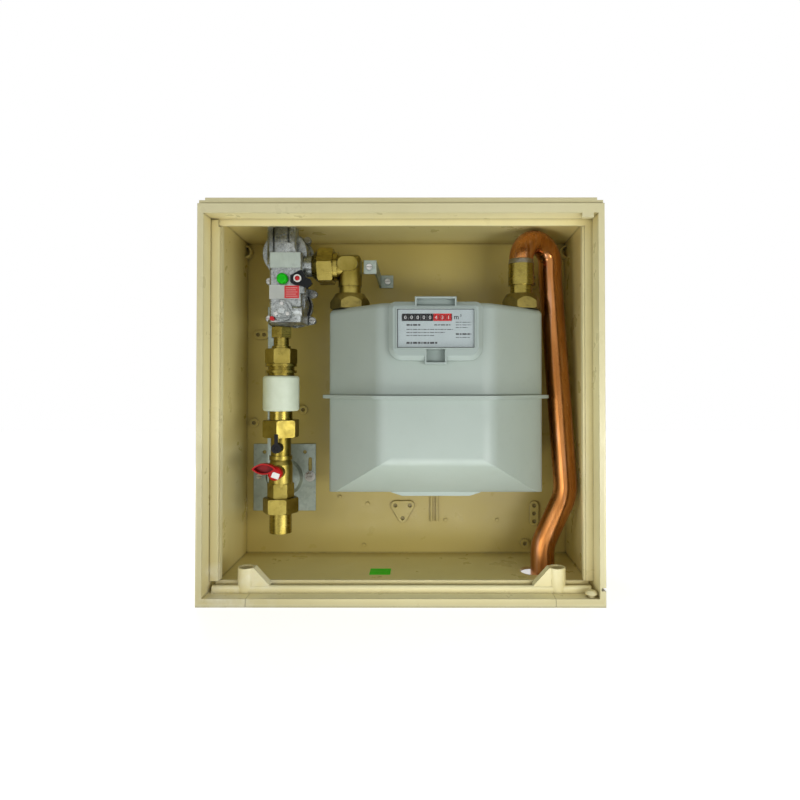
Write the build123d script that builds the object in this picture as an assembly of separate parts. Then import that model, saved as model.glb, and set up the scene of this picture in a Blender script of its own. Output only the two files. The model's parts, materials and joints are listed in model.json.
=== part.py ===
from build123d import *
import math
import os

# Gas meter cabinet, in millimetres.
# X runs to the right, Y from the open front to the back wall, Z up.
# The origin is in the middle of the footprint, on the surface that the cabinet stands on.

# Clearances
FIT = 0.05            # radial slip between pieces that are screwed, soldered or pressed together
RUN = 0.35            # radial room round a sliding button or a turning drum
SHAFT_RUN = 0.08      # radial room of the valve stem and of the drums on their shaft

# Cabinet shell
BOX_W = 530.0         # outer width of the front rim
BOX_H = 529.5         # outer height of the front rim, without the drip lip
BOX_D = 205.0         # overall depth
WALL = 4.0
SIDE_DRAFT = 4.0      # how far each side wall leans in towards the back
ROOF_DRAFT = 10.0     # how far the roof drops towards the back
FLOOR_FRONT = 11.0    # height of the flat floor behind the front lip
FLOOR_BACK = 17.0     # height of the floor at the back wall
FLOOR_FLAT = 46.5     # depth of the flat part of the floor, from the front
RIM = 8.0             # width of the outer rim that frames the door recess
RIM_TOP = 18.5        # height of the rim above the door recess
RIM_SHOULDER = 6.0    # height and depth of the step along the rim's top edge
DOOR_RECESS = 31.0    # depth of the door recess behind the front plane
JAMB = 4.0            # thickness of the jamb plates
JAMB_W = 18.0         # from the outside of the box to the inner edge of a side jamb
LINTEL_H = 27.5       # from the top of the box to the lower edge of the top jamb
JAMB_RIB = 3.0        # width of the rib behind the inner edge of a side jamb
JAMB_RIB_SET = 2.0    # front of the rib behind the jamb's face
JAMB_RIB_D = 10.0
DRIP_LIP_H = 3.0
DRIP_LIP_D = 10.0
DRIP_LIP_INSET = 8.0
KEEPER = (15.0, 7.0, 6.0)
KEEPER_FROM_SIDE = 14.0
HOOK_R = 10.0         # curved ribs in the two upper corners at the back
HOOK_T = 2.5
HOOK_D = 14.0
HOOK_DROP = 15.0      # hook centre below the ceiling
NOTCH = (6.0, 4.0)    # notch in the right rim, beside the rail pin
NOTCH_Z = 21.0

# Bosses moulded on the back wall
BOSS_H = 5.0
BOSS_HOLE_R = 3.2
BOSS_HOLE_D = 4.0
BOSS_R = 7.0
TREFOIL_REACH = 13.5  # from the middle of the three-lobed boss to its holes
PEG_R = 2.6
PEG_H = 3.0
GUIDE_W = 2.5         # pair of upright ribs behind the meter
GUIDE_H = 44.0

# Places of the bosses: across from what is named, and up from the ground where nothing else is said
TWIN_FROM_SIDE = 31.0
TWIN_DROP = 92.0      # below the regulator's outlet axis
TWIN_PITCH = 10.0
CORNER_FROM_SIDE = 20.0
CORNER_DROP = 44.0    # below the meter's seam
TRAIN_BOSS_X = 13.0   # from the inlet axis
TRAIN_BOSS_DROP = 23.0
TREFOIL_X = -52.0     # from the meter's middle
TREFOIL_Z = 87.0
TRIPLE_X = 34.0       # from the outlet port
TRIPLE_Z = 81.0
TRIPLE_PITCH = 12.5
FLOOR_BOSS_X = 19.0   # from the outlet port
FLOOR_BOSS_Z = 33.0
PIPE_BOSS_X = 34.0    # from the outlet port
PIPE_BOSS_DROP = 5.0  # below the regulator's outlet axis
PIPE_BOSS_PITCH = 11.0
GUIDE_X = (-6.0, 3.0) # from the meter's middle
GUIDE_Z = 90.0
PEG_X = (-153.0, -108.0, -114.0, 17.0, 100.0)
PEG_Z = (107.0, 96.0, 30.0, 70.0, 70.0)

# Trim strip on the left jamb
STRIP_W = 9.5
STRIP_T = 2.5
STRIP_FIT = 0.2       # strip's turned edge ahead of the jamb's rib
STRIP_RETURN_T = 1.8
STRIP_GAP = 2.0       # free length above and below the strip

# Hinge rail across the bottom of the opening
RAIL_LEDGE = 23.5     # ledge in front of the rail, from the front plane
RAIL_D = 19.0
RAIL_H = 9.0
RAIL_NOSE_R = 4.0
RAIL_REAR_T = 3.5     # raised edge along the back of the rail
RAIL_REAR_H = 3.0
RAIL_GROOVE_D = 4.0
RAIL_FRONT_T = 6.0    # land between the nose and the groove
RAIL_END_GAP = 13.0   # from the outside of the box to either end of the rail
LIP_HALF = 200.0      # half length of the lip that is one piece with the rail
LIP_GAP = 0.5
LIP_KEY = 4.0         # how far the lip reaches under the rail
POST_X = 208.0
POST_R = 11.5
POST_BORE_R = 9.2
POST_H = 23.0
POST_BORE_D = 17.0
GUSSET_L = 21.0
GUSSET_T = 15.0
PIN_R = 4.5
PIN_HEAD_R = 8.0
PIN_H = 4.0
PIN_HEAD_H = 4.5
PIN_FROM_SIDE = 17.0
PIN_FROM_FRONT = 9.0

# Meter, hung from its two ports
PORT_STANDOFF = 98.5  # from the back wall to the plane of the ports
PORT_FROM_SIDE = 93.5 # from the outside of the box to the outlet port
PORT_R = 16.0
PORT_BORE_R = 12.5
PORT_H = 14.0
METER_OVERHANG = 35.5 # meter's tips beyond its ports
METER_D = 163.0
METER_FACET = 87.5    # sideways reach of each slanting side facet
METER_UPPER_H = 127.0
METER_LOWER_H = 137.0
METER_TOP_R = 9.0
METER_CREASE_R = 34.0 # soft crease between the front and a side facet
METER_TIP_R = 13.0
METER_KEEL = 28.0     # depth of the narrow flat under the meter
METER_SLOPE_H = 49.0  # height of the sloping facets under the front and the back
METER_SLOPE_R = 16.0  # soft crease above the sloping facets
PAD_W = 96.0
PAD_END = 16.0        # sloping end of the pad
PAD_H = 5.0
FLANGE_OUT = 9.5
FLANGE_T = 2.5

# Index on the front of the meter
INDEX_W = 124.0
INDEX_H = 77.5
INDEX_D = 15.0
INDEX_ABOVE = -0.5    # index top from the meter's top
INDEX_SKIRT = 6.0     # slope along the front edges
INDEX_TOP_R = 10.0
INDEX_LOW_R = 18.0
INDEX_SHIFT = -1.0    # index centre from the meter's centre
DIAL_W = 101.0
DIAL_H = 51.0
DIAL_DROP = 10.0      # from the index top to the dial's top
DIAL_T = 0.8
FRAME_W = 1.8         # raised frame round the dial
FRAME_H = 1.0
GLASS_T = 1.5
GLASS_GAP = 0.7
GLASS_SET = 0.2
COUNT_W = 66.0
COUNT_H = 9.2
COUNT_FROM_LEFT = 6.0
COUNT_DROP = 11.0     # from the dial's top to the drum axis
DRUM_COUNT = 8
DRUM_R = 9.0
DRUM_W = 7.4
DRUM_PITCH = 8.1
DRUM_SHAFT_R = 1.5
DRUM_SHAFT_SEAT = 4.0
TAB_W = 54.5          # raised tab over the dial
TAB_UP = 6.0
TAB_WALL = 2.4
TAB_H = 14.5
TAB_D = 9.0
TONGUE_W = 29.0
TONGUE_H = 22.0
TONGUE_BELOW = 5.0
TONGUE_WALL = 2.5
TONGUE_D = 10.5

# Unions on the meter
UNION_NUT_H = 22.0
UNION_NUT_AF = 50.0
UNION_NUT_TOP_R = 21.5
UNION_NUT_RIM = 10.0
UNION_NUT_TURN = 11.0
UNION_LIP = 4.0
COLLAR_R = 19.0
COLLAR_H = 4.0

# Outlet tailpiece and copper pipe
TAIL_NECK_H = 13.0
SOCKET_R = 18.8
SOCKET_H = 31.0
SOCKET_SEAT = 7.0     # unbored length at the foot of the socket
SOLDER_H = 7.0
SOLDER_OUT = 1.3
PIPE_R = 17.5
PIPE_WALL = 1.5
BEND_R = 30.0
BEND_X = 49.0         # sideways part of the U bend's span
PIPE_ROOF_GAP = 1.8
PIPE_SIDE_GAP = 2.5
PIPE_LOW_Y = 13.0     # pipe behind the port plane at the lower bend
PIPE_LOW_H = 116.0    # height of the lower bend above the floor
PIPE_OFFSET = 35.0    # how far the lower end steps to the left
PIPE_OFFSET_H = 75.0  # height over which it does so
PIPE_BEND_R = 60.0
PIPE_FOOT = 2.0       # pipe end above the ground
FLOOR_HOLE_GAP = 1.5
FLOOR_HOLE_EXTRA = 14.0

# Regulator inlet, from the regulator downwards
OUTLET_DROP = 69.5    # from the top of the box to the regulator's outlet axis
INLET_DROP = 89.0     # from the outlet axis to the bottom of the regulator
TRAIN_FROM_SIDE = 86.0 # from the outside of the box to the inlet axis
TRAIN_GAP = 100.5     # from the inlet axis to the meter's inlet port
GAS_R = 8.0          # gas way through the brass fittings
INLET_NUT_H = 15.5
INLET_NUT_AF = 27.5
INLET_NUT_TURN = 45.0
NIPPLE_H = 16.0
NIPPLE_R = 11.0
NIPPLE_BORE_R = 6.5
NIPPLE_RING_R = 13.5
NIPPLE_RING_H = 4.0
ISO_NUT_H = 22.0
ISO_NUT_AF = 40.0
ISO_NUT_TURN = 16.0
ISO_RING_R = 22.5
ISO_RING_H = 4.0
ISO_NECK_R = 19.0
ISO_NECK_H = 17.5
SLEEVE_H = 51.0
SLEEVE_R = 26.0
SLEEVE_EDGE_R = 4.0
SLEEVE_INSERT = 20.0  # how far each tail reaches into the sleeve
LOWER_TAIL_H = 13.0
LOWER_TAIL_R = 16.5
VALVE_NUT_H = 25.0
VALVE_NUT_AF = 47.0
VALVE_NUT_TURN = 30.0
VALVE_NECK_H = 26.5
VALVE_NECK_R = 14.5
VALVE_COLLAR_H = 6.0
VALVE_COLLAR_R = 16.5
BALL_HOUSING_H = 40.0
BALL_DROP = 16.0      # ball centre below the valve collar
BALL_HOUSING_R = 17.0
VALVE_HEX_H = 15.0
VALVE_HEX_AF = 33.0
VALVE_HEX_TURN = 11.0
VALVE_TAPER = 7.0     # sloping ends of the ball housing
SERVICE_NUT_H = 21.5
SERVICE_NUT_AF = 45.0
SERVICE_TAIL_H = 29.0
SERVICE_TAIL_R = 16.0
SERVICE_TAIL_BORE = 13.0
SERVICE_NECK_R = 15.4
SERVICE_NECK_GAP = 1.0
SPIGOT_R = 17.5       # threaded ends inside the large nuts
SPIGOT_L = 14.0
SMALL_SPIGOT_R = 11.8
SMALL_SPIGOT_L = 9.0
NUT_LIP = 4.0

# Valve mechanism
BALL_R = 12.0
BALL_BORE_R = 8.0
SEAT_L = 4.5
SEAT_BORE_R = 8.5
STEM_R = 4.5
STEM_TANG = (7.0, 3.5, 2.5)
GLAND_R = 9.5
GLAND_L = 9.5
HUB_R = 9.5
HUB_L = 13.0
HUB_GAP = 0.6
HUB_SEAT = 8.0
HUB_BEVEL = 2.5
WING_L = 34.0
WING_W = 15.0
WING_D = 11.5
WING_WALL = 1.6
WING_FRONT = 1.0      # wing ahead of the hub
WING_X = 14.5         # wing centre from the stem axis
WING_UP = 7.0         # wing centre above the stem axis
TAG = (10.5, 8.0, 0.6)
TAG_SHIFT = (2.0, -2.0)
TAG_TURN = 20.0

# Test point on the valve
TEST_Z = 12.5         # above the valve collar
TEST_NIPPLE_R = 4.0
TEST_NIPPLE_L = 9.0
TEST_PAD = 1.0        # pad under the nipple, ahead of the valve's neck
CAP_R = 7.0
CAP_ROOF = 3.0
CAP_STRAP_W = 5.0
CAP_STRAP_T = 2.0
CAP_STRAP_GAP = 0.5   # strap ahead of the nut above it
CAP_STRAP_H = 14.0

# Regulator casting
REG_W = 46.0
REG_SHIFT = 11.5      # body centre to the right of the inlet axis
REG_FRONT = 27.0      # front face ahead of the port plane
REG_BACK = 31.0       # joint plane behind the port plane
REG_EDGE_R = 4.0
REG_FOOT_H = 5.0
REG_FOOT_R = 12.5
REG_FOOT_TOP_R = 19.0
REG_TOP = 16.0        # top of the square body above the outlet axis
TOWER_W = 42.0
TOWER_SHIFT = 4.0     # tower's middle to the right of the inlet axis
TOWER_D = 24.0
TOWER_H = 38.0
TOWER_EDGE_R = 5.0
TOWER_FRONT = 20.0    # tower's front ahead of the port plane
TOWER_SLOT_W = 3.0
TOWER_SLOT_D = 4.0
SPRING_BOSS_R = 14.5
SPRING_BOSS_SET = 3.0 # spring boss behind the front face
JOINT_T = 4.0         # thickness of the flanges at the joint plane
DISH_R = 36.0
DISH_NECK_R = 32.0
DISH_NECK_FRONT = 6.0 # front of the disc ahead of the port plane
DISH_D = 16.0
DISH_UP = 18.5        # disc centre above the outlet axis
DISH_SHIFT = 6.0      # disc centre to the right of the inlet axis
DOME_R = 26.0
LOWER_R = 26.5
LOWER_NECK_R = 23.5
LOWER_FRONT = 14.0    # front of the lower disc ahead of the port plane
LOWER_DROP = 55.5     # lower disc below the outlet axis
LOWER_SHIFT = 14.0    # lower disc to the right of the inlet axis
SEAL_T = 8.0          # depth of the dark ring round the lower disc
SEAL_OUT = 2.0
EAR_R = 5.5
EAR_HOLE_R = 2.4
EAR_OUT = 7.5         # ears beyond the sides of the body
OUTLET_R = 15.0
OUTLET_L = 34.8       # from the body centre to the outlet nut
OUTLET_SPIGOT_L = 12.0
SHOULDER_W = 4.5
SHOULDER_H = 27.0
SHOULDER_T = 14.0
SHOULDER_DROP = 7.0   # shoulder centre below the buttons
PLATE_T = 0.6
NAMEPLATE = (43.0, 22.0)
LABEL = (43.0, 20.0)
SLAM_DROP = 68.0      # slam-shut centre below the outlet axis
SLAM_SHIFT = -3.0     # slam-shut centre from the body centre
SLAM_R = 14.5
SLAM_OUT = 4.0
SLAM_COVER_T = 3.0
SLAM_LOBE_R = 5.0
SLAM_LOBE_REACH = 9.5 # from the cover's middle to its screws
SLAM_SCREW_R = 2.6
SLAM_SCREW_H = 1.6
SLAM_RING_R = 8.0
SLAM_RING_H = 1.5
SLAM_NUT_AF = 10.0
SLAM_NUT_H = 4.5
SLAM_SIDE_R = 8.5
SLAM_SIDE_L = 27.0    # side barrel's reach from the slam-shut centre
SLAM_SIDE_SET = 5.5   # side barrel's axis behind the front face
BUTTON_DROP = 22.5    # buttons below the outlet axis
RESET_SHIFT = -3.5    # reset button from the body centre
RESET_R = 7.6
RESET_OUT = 9.0
RESET_IN = 5.0
RESET_TRAVEL = 3.0
BUTTON_WELL = 1.0     # free depth behind a button that is pressed in
TRIP_SHIFT = 22.0     # trip button to the right of the reset button
TRIP_R = 3.3
TRIP_OUT = 8.0
TRIP_IN = 3.0
TRIP_TRAVEL = 2.5
TRIP_PLATE_T = 4.0
TRIP_PLATE_W = 31.0
TRIP_PLATE_H = 27.0
TRIP_PLATE_OUT = 16.0 # how far the trip plate overhangs the body
TRIP_CORNER_R = 2.0
BEZEL_R = 5.4
BEZEL_T = 3.0
PLUG_R = 3.2
PLUG_L = 6.0
SCREW_HEAD_R = 4.5
SCREW_HEAD_H = 2.6
SCREW_SLOT_W = 1.2

# Regulator outlet union and elbow
OUT_NUT_L = 37.0
OUT_NUT_AF = 48.0
OUT_NUT_CONE_L = 8.7
OUT_NUT_CONE_R = 17.0
OUT_NUT_HEX_L = 22.0
OUT_NUT_RING_R = 21.0
OUT_NUT_TURN = 24.5
ELBOW_R = 17.0
ELBOW_BORE_R = 11.0
ELBOW_LEG = 30.0      # from the horizontal axis to the turned part
ELBOW_TURNED_R = 15.7
ELBOW_TURNED_L = 15.0
ELBOW_CORNER_R = 10.0
ELBOW_COLLAR_R = 18.5
PANEL_L = 29.5
PANEL_W = 21.0
PANEL_RISE = 1.5
PANEL_SHIFT = 2.0
PANEL_UP = 1.5
LUG_R = 8.0
LUG_X = 27.5          # lug centre from the elbow's vertical axis
LUG_T = 8.0
LUG_FRONT = 6.0       # lug face behind the port plane

# Elbow bracket
STRAP_T = 2.5
STRAP_W = 20.0
FOOT_L = 22.0
FOOT_DROP = 6.0
FOOT_SCREW = 13.0     # wall screw from the strap's fold

# Mounting plate and support strip behind the inlet
PLATE_W = 100.0
PLATE_H = 107.0
PLATE_THK = 2.0
PLATE_Z = 85.0
PLATE_WALL_GAP = 11.5 # from the side wall to the plate
EMBOSS_R = 30.0
EMBOSS_H = 5.0
PLATE_HOLE_R = 3.0
PLATE_HOLE_X = 32.5   # holes on either side of the plate's middle
PLATE_HOLE_UP = 40.5
PLATE_SLOT_L = 22.0
PLATE_SLOT_W = 6.0
PLATE_SCREW_X = 9.0   # screws from the plate's edges
PLATE_SCREW_Z = 55.0  # screws above the plate's lower edge
SUPPORT_W = 21.0
SUPPORT_T = 3.0
SUPPORT_X = 38.0      # from the plate's left edge to the strip's
SUPPORT_UP = 34.0     # support strip's top above the regulator's bottom
SUPPORT_FOOT = 26.0
SUPPORT_BEND = 55.0   # height of the strip's bend above the plate's lower edge
SUPPORT_HOLE_R = 2.7
SUPPORT_HOLE_PITCH = 20.0
SUPPORT_HOLE_DROP = 20.0
WASHER_R = 8.5
WASHER_T = 1.5

# Places that follow from the sizes above
FRONT_Y = -BOX_D / 2
BACK_Y = BOX_D / 2 - WALL
JAMB_Y = FRONT_Y + DOOR_RECESS
CAVITY_Y = JAMB_Y + JAMB
PORT_Y = BACK_Y - PORT_STANDOFF
TRAIN_X = -BOX_W / 2 + TRAIN_FROM_SIDE
INLET_PORT_X = TRAIN_X + TRAIN_GAP
OUTLET_PORT_X = BOX_W / 2 - PORT_FROM_SIDE
METER_W = OUTLET_PORT_X - INLET_PORT_X + 2 * METER_OVERHANG
METER_X = (OUTLET_PORT_X + INLET_PORT_X) / 2
OUTLET_Z = BOX_H - OUTLET_DROP
REG_Z = OUTLET_Z - INLET_DROP
METER_TOP = OUTLET_Z - ELBOW_LEG - ELBOW_TURNED_L - UNION_NUT_H + UNION_LIP
SEAM_Z = METER_TOP - METER_UPPER_H
METER_FRONT_Y = PORT_Y - METER_D / 2
METER_SEAT_Z = METER_TOP + PORT_H

# Heights of the inlet fittings, from the regulator downwards
INLET_NUT_Z = REG_Z - INLET_NUT_H
NIPPLE_Z = INLET_NUT_Z - NIPPLE_H
ISO_NUT_Z = NIPPLE_Z - ISO_NUT_H
ISO_NECK_Z = ISO_NUT_Z - ISO_NECK_H
SLEEVE_Z = ISO_NECK_Z - SLEEVE_H
LOWER_TAIL_Z = SLEEVE_Z - LOWER_TAIL_H
VALVE_NUT_Z = LOWER_TAIL_Z - VALVE_NUT_H
COLLAR_Z = VALVE_NUT_Z - VALVE_NECK_H - VALVE_COLLAR_H
HOUSING_Z = COLLAR_Z - BALL_HOUSING_H
HEX_Z = HOUSING_Z - VALVE_HEX_H
SERVICE_NUT_Z = HEX_Z - SERVICE_NUT_H
SERVICE_END_Z = SERVICE_NUT_Z - SERVICE_TAIL_H
BALL_Z = COLLAR_Z - BALL_DROP
TEST_POINT_Z = COLLAR_Z + VALVE_COLLAR_H + TEST_Z

REG_X = TRAIN_X + REG_SHIFT
REG_FRONT_Y = PORT_Y - REG_FRONT
REG_BACK_Y = PORT_Y + REG_BACK
DISH_X = TRAIN_X + DISH_SHIFT
DISH_Z = OUTLET_Z + DISH_UP
LOWER_X = TRAIN_X + LOWER_SHIFT
LOWER_Z = OUTLET_Z - LOWER_DROP
SLAM_X = REG_X + SLAM_SHIFT
SLAM_Z = OUTLET_Z - SLAM_DROP
BUTTON_Z = OUTLET_Z - BUTTON_DROP
RESET_X = REG_X + RESET_SHIFT
TRIP_X = RESET_X + TRIP_SHIFT
RAIL_Y = FRONT_Y + RAIL_LEDGE


def block(x0, x1, y0, y1, z0, z1):
    """Box between two corners."""
    return Pos((x0 + x1) / 2, (y0 + y1) / 2, (z0 + z1) / 2) * Box(x1 - x0, y1 - y0, z1 - z0)


def rod_x(y, z, x0, x1, r):
    """Cylinder along X."""
    return Pos((x0 + x1) / 2, y, z) * Rot(0, 90, 0) * Cylinder(r, x1 - x0)


def rod_y(x, z, y0, y1, r):
    """Cylinder along Y."""
    return Pos(x, (y0 + y1) / 2, z) * Rot(90, 0, 0) * Cylinder(r, y1 - y0)


def rod_z(x, y, z0, z1, r):
    """Cylinder along Z."""
    return Pos(x, y, (z0 + z1) / 2) * Cylinder(r, z1 - z0)


def facing(y):
    """Plane across the cabinet at depth y, with local axes along X and Z."""
    return Plane.XZ.offset(-y)


def panel(x0, x1, z0, z1, y):
    """Rectangle across the cabinet at depth y."""
    return facing(y) * Pos((x0 + x1) / 2, (z0 + z1) / 2) * Rectangle(x1 - x0, z1 - z0)


def slab(sketch, y0, y1):
    """Sketch drawn in X and Z, extruded from depth y0 to depth y1."""
    return extrude(facing(y1) * sketch, y1 - y0, dir=(0, -1, 0))


def turned(*profile):
    """Solid of revolution about Z, from (radius, height) corners."""
    return revolve(Plane.XZ * Polygon(*profile, align=None), Axis.Z)


def tube(r_out, r_in, z0, z1):
    """Ring about Z."""
    return turned((r_in, z0), (r_out, z0), (r_out, z1), (r_in, z1))


def hexagon(flats, z0, z1, turn=0.0, bevel=1.6):
    """Hexagon bar about Z with its corners bevelled at both ends."""
    prism = Pos(0, 0, z0) * extrude(RegularPolygon(flats / 2, 6, major_radius=False, rotation=turn), z1 - z0)
    blank = Pos(0, 0, (z0 + z1) / 2) * Cylinder(flats / math.sqrt(3), z1 - z0)
    return chamfer(blank.edges().filter_by(GeomType.CIRCLE), bevel) & prism


def at_train(shape):
    """Place a piece drawn about Z on the inlet axis."""
    return Pos(TRAIN_X, PORT_Y, 0) * shape


def at_port(x, shape):
    """Place a piece drawn about Z on a meter port."""
    return Pos(x, PORT_Y, 0) * shape


def draft_share(y):
    """Share of the draft that the walls have at depth y."""
    return (y - FRONT_Y) / BOX_D


def inner_half(y):
    """Half the inner width of the cabinet at depth y."""
    return BOX_W / 2 - WALL - SIDE_DRAFT * draft_share(y)


def roof_z(y):
    """Height of the ceiling at depth y."""
    return BOX_H - WALL - ROOF_DRAFT * draft_share(y)


def floor_z(y):
    """Height of the floor at depth y."""
    flat_end = FRONT_Y + FLOOR_FLAT
    if y <= flat_end:
        return FLOOR_FRONT
    return FLOOR_FRONT + (FLOOR_BACK - FLOOR_FRONT) * (y - flat_end) / (BACK_Y - flat_end)


def cavity_section(y):
    """Section of the cabinet's inside at depth y."""
    return panel(-inner_half(y), inner_half(y), floor_z(y), roof_z(y), y)


def under_floor_section(y):
    """Section of the open space under the floor at depth y."""
    return panel(-inner_half(y), inner_half(y), -WALL, floor_z(y) - WALL, y)


def back_boss(outline, holes, height=BOSS_H):
    """Moulded boss on the back wall with blind screw holes, given by their places in X and Z."""
    boss = slab(outline, BACK_Y - height, BACK_Y + FIT)
    for x, z in holes:
        boss -= rod_y(x, z, BACK_Y - height - FIT, BACK_Y - height + BOSS_HOLE_D, BOSS_HOLE_R)
    return boss


def round_boss(x, z):
    """Round boss with one hole."""
    return back_boss(Pos(x, z) * Circle(BOSS_R), [(x, z)])


def long_boss(x, z, count, pitch, turn):
    """Round-ended boss with a row of holes."""
    reach = pitch * (count - 1)
    outline = Pos(x, z) * Rot(0, 0, turn) * SlotCenterToCenter(reach, 2 * BOSS_R)
    across = math.cos(math.radians(turn))
    along = math.sin(math.radians(turn))
    steps = [pitch * i - reach / 2 for i in range(count)]
    return back_boss(outline, [(x + s * across, z + s * along) for s in steps])


def trefoil_boss(x, z):
    """Three-lobed boss with a hole in each lobe."""
    angles = [math.radians(a) for a in (30, 150, 270)]
    lobes = [(x + TREFOIL_REACH * math.cos(a), z + TREFOIL_REACH * math.sin(a)) for a in angles]
    outline = make_hull([(Pos(*lobe) * Circle(BOSS_R)).edge() for lobe in lobes])
    return back_boss(outline, lobes)


def wall_bosses():
    """All bosses of the back wall."""
    bosses = [
        long_boss(-BOX_W / 2 + TWIN_FROM_SIDE, OUTLET_Z - TWIN_DROP, 2, TWIN_PITCH, 0),
        round_boss(-BOX_W / 2 + CORNER_FROM_SIDE, SEAM_Z - CORNER_DROP),
        round_boss(TRAIN_X + TRAIN_BOSS_X, SEAM_Z - TRAIN_BOSS_DROP),
        trefoil_boss(METER_X + TREFOIL_X, TREFOIL_Z),
        long_boss(OUTLET_PORT_X + TRIPLE_X, TRIPLE_Z, 3, TRIPLE_PITCH, 90),
        round_boss(OUTLET_PORT_X + FLOOR_BOSS_X, FLOOR_BOSS_Z),
        long_boss(OUTLET_PORT_X + PIPE_BOSS_X, OUTLET_Z - PIPE_BOSS_DROP, 2, PIPE_BOSS_PITCH, 90),
    ]
    for x in GUIDE_X:
        bosses.append(back_boss(Pos(METER_X + x, GUIDE_Z) * Rectangle(GUIDE_W, GUIDE_H), []))
    for x, z in zip(PEG_X, PEG_Z):
        bosses.append(back_boss(Pos(METER_X + x, z) * Circle(PEG_R), [], PEG_H))
    return bosses


def pipe_foot_x():
    """Place of the copper pipe's lower end across the cabinet."""
    return pipe_low()[0] - PIPE_OFFSET


def floor_slot():
    """Long hole that lets the copper pipe through the floor."""
    r = PIPE_R + FLOOR_HOLE_GAP
    x = pipe_foot_x() - FLOOR_HOLE_EXTRA / 2
    outline = Pos(x, PORT_Y + PIPE_LOW_Y) * SlotCenterToCenter(FLOOR_HOLE_EXTRA, 2 * r)
    return extrude(outline, FLOOR_BACK + WALL)


def jamb_foot():
    """Height at which the side jambs end, above the raised edge of the rail."""
    return FLOOR_FRONT + RAIL_H + RAIL_REAR_H + STRIP_GAP


def jamb_rib(side):
    """Rib behind the inner edge of a side jamb."""
    edge = BOX_W / 2 - JAMB_W
    y0 = JAMB_Y + JAMB_RIB_SET
    ends = sorted((side * (edge - JAMB_RIB), side * (edge + JAMB_RIB)))
    return block(*ends, y0, y0 + JAMB_RIB_D, FLOOR_FRONT, BOX_H - LINTEL_H + FIT)


def corner_hook(side):
    """Curved rib from a side wall, in an upper corner at the back."""
    x = side * inner_half(BACK_Y - HOOK_D)
    z = roof_z(BACK_Y) - HOOK_DROP
    ring = slab(Pos(x, z) * (Circle(HOOK_R) - Circle(HOOK_R - HOOK_T)), BACK_Y - HOOK_D, BACK_Y + FIT)
    ends = sorted((x - side * 2 * HOOK_R, x + side * FIT))
    return ring & block(*ends, BACK_Y - 2 * HOOK_D, BACK_Y + WALL, z - 2 * HOOK_R, z + 2 * HOOK_R)


def box_shell():
    """Moulded cabinet with its rim, door recess, jambs and bosses."""
    back = BOX_D / 2
    half = BOX_W / 2
    flat_end = FRONT_Y + FLOOR_FLAT
    shell = loft([
        panel(-half, half, 0, BOX_H, FRONT_Y),
        panel(-half + SIDE_DRAFT, half - SIDE_DRAFT, 0, BOX_H - ROOF_DRAFT, back),
    ])
    shell -= loft([cavity_section(CAVITY_Y), cavity_section(flat_end)])
    shell -= loft([cavity_section(flat_end), cavity_section(BACK_Y)])
    shell -= loft([under_floor_section(RAIL_Y + LIP_KEY), under_floor_section(flat_end)])
    shell -= loft([under_floor_section(flat_end), under_floor_section(BACK_Y)])
    recess_top = BOX_H - RIM_TOP
    shell -= block(-half + RIM, half - RIM, FRONT_Y - WALL, JAMB_Y, FLOOR_FRONT, recess_top)
    opening = half - JAMB_W
    shell -= block(-opening, opening, FRONT_Y, CAVITY_Y + WALL, FLOOR_FRONT, BOX_H - LINTEL_H)
    for side in (-1, 1):
        shell += jamb_rib(side)
    rib_back = JAMB_Y + JAMB_RIB_SET + JAMB_RIB_D + FIT
    shell -= block(-half + RIM, half - RIM, JAMB_Y - WALL, rib_back, FLOOR_FRONT, jamb_foot())
    shell -= block(-half, half, FRONT_Y - WALL, FRONT_Y + RIM_SHOULDER, BOX_H - RIM_SHOULDER, BOX_H + WALL)
    lip = LIP_HALF + LIP_GAP
    shell -= block(-lip, lip, FRONT_Y - WALL, RAIL_Y + LIP_KEY + LIP_GAP, -WALL, FLOOR_FRONT + FIT)
    shell -= block(half - NOTCH[0], half + WALL, FRONT_Y - WALL, JAMB_Y, NOTCH_Z, NOTCH_Z + NOTCH[1])
    shell -= floor_slot()
    drip_y = FRONT_Y + RIM_SHOULDER
    drip = half - DRIP_LIP_INSET
    shell += block(-drip, drip, drip_y, drip_y + DRIP_LIP_D, BOX_H - WALL, BOX_H + DRIP_LIP_H)
    keeper_x = half - KEEPER_FROM_SIDE
    shell += block(keeper_x - KEEPER[0], keeper_x, FRONT_Y, FRONT_Y + KEEPER[1],
                   recess_top - KEEPER[2], recess_top + FIT)
    for boss in wall_bosses() + [corner_hook(-1), corner_hook(1)]:
        shell += boss
    return shell


def left_strip():
    """Angle strip that covers the inner edge of the left jamb."""
    edge = -BOX_W / 2 + JAMB_W
    z0 = jamb_foot()
    z1 = BOX_H - RIM_TOP - STRIP_GAP
    leaf = block(edge - STRIP_W, edge, JAMB_Y - STRIP_T, JAMB_Y, z0, z1)
    inner_top = BOX_H - LINTEL_H - STRIP_GAP
    leaf -= block(edge - FIT, edge + STRIP_W, FRONT_Y, CAVITY_Y, inner_top, z1 + STRIP_GAP)
    turn = block(edge, edge + STRIP_RETURN_T, JAMB_Y - STRIP_T, JAMB_Y + JAMB_RIB_SET - STRIP_FIT,
                 z0, inner_top)
    return leaf + turn


def rail_post(side):
    """Door post of the hinge rail with its socket and gusset."""
    x = side * POST_X
    y = RAIL_Y + RAIL_D / 2
    z = FLOOR_FRONT + RAIL_H
    foot = z - RAIL_GROOVE_D
    outline = Polygon((x, foot), (x - side * (POST_R + GUSSET_L), foot), (x - side * (POST_R + GUSSET_L), z),
                      (x - side * POST_R, z + POST_H), (x, z + POST_H), align=None)
    gusset = slab(outline, y - GUSSET_T / 2, y + GUSSET_T / 2)
    return rod_z(x, y, FLOOR_FRONT, z + POST_H, POST_R) + gusset


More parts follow.
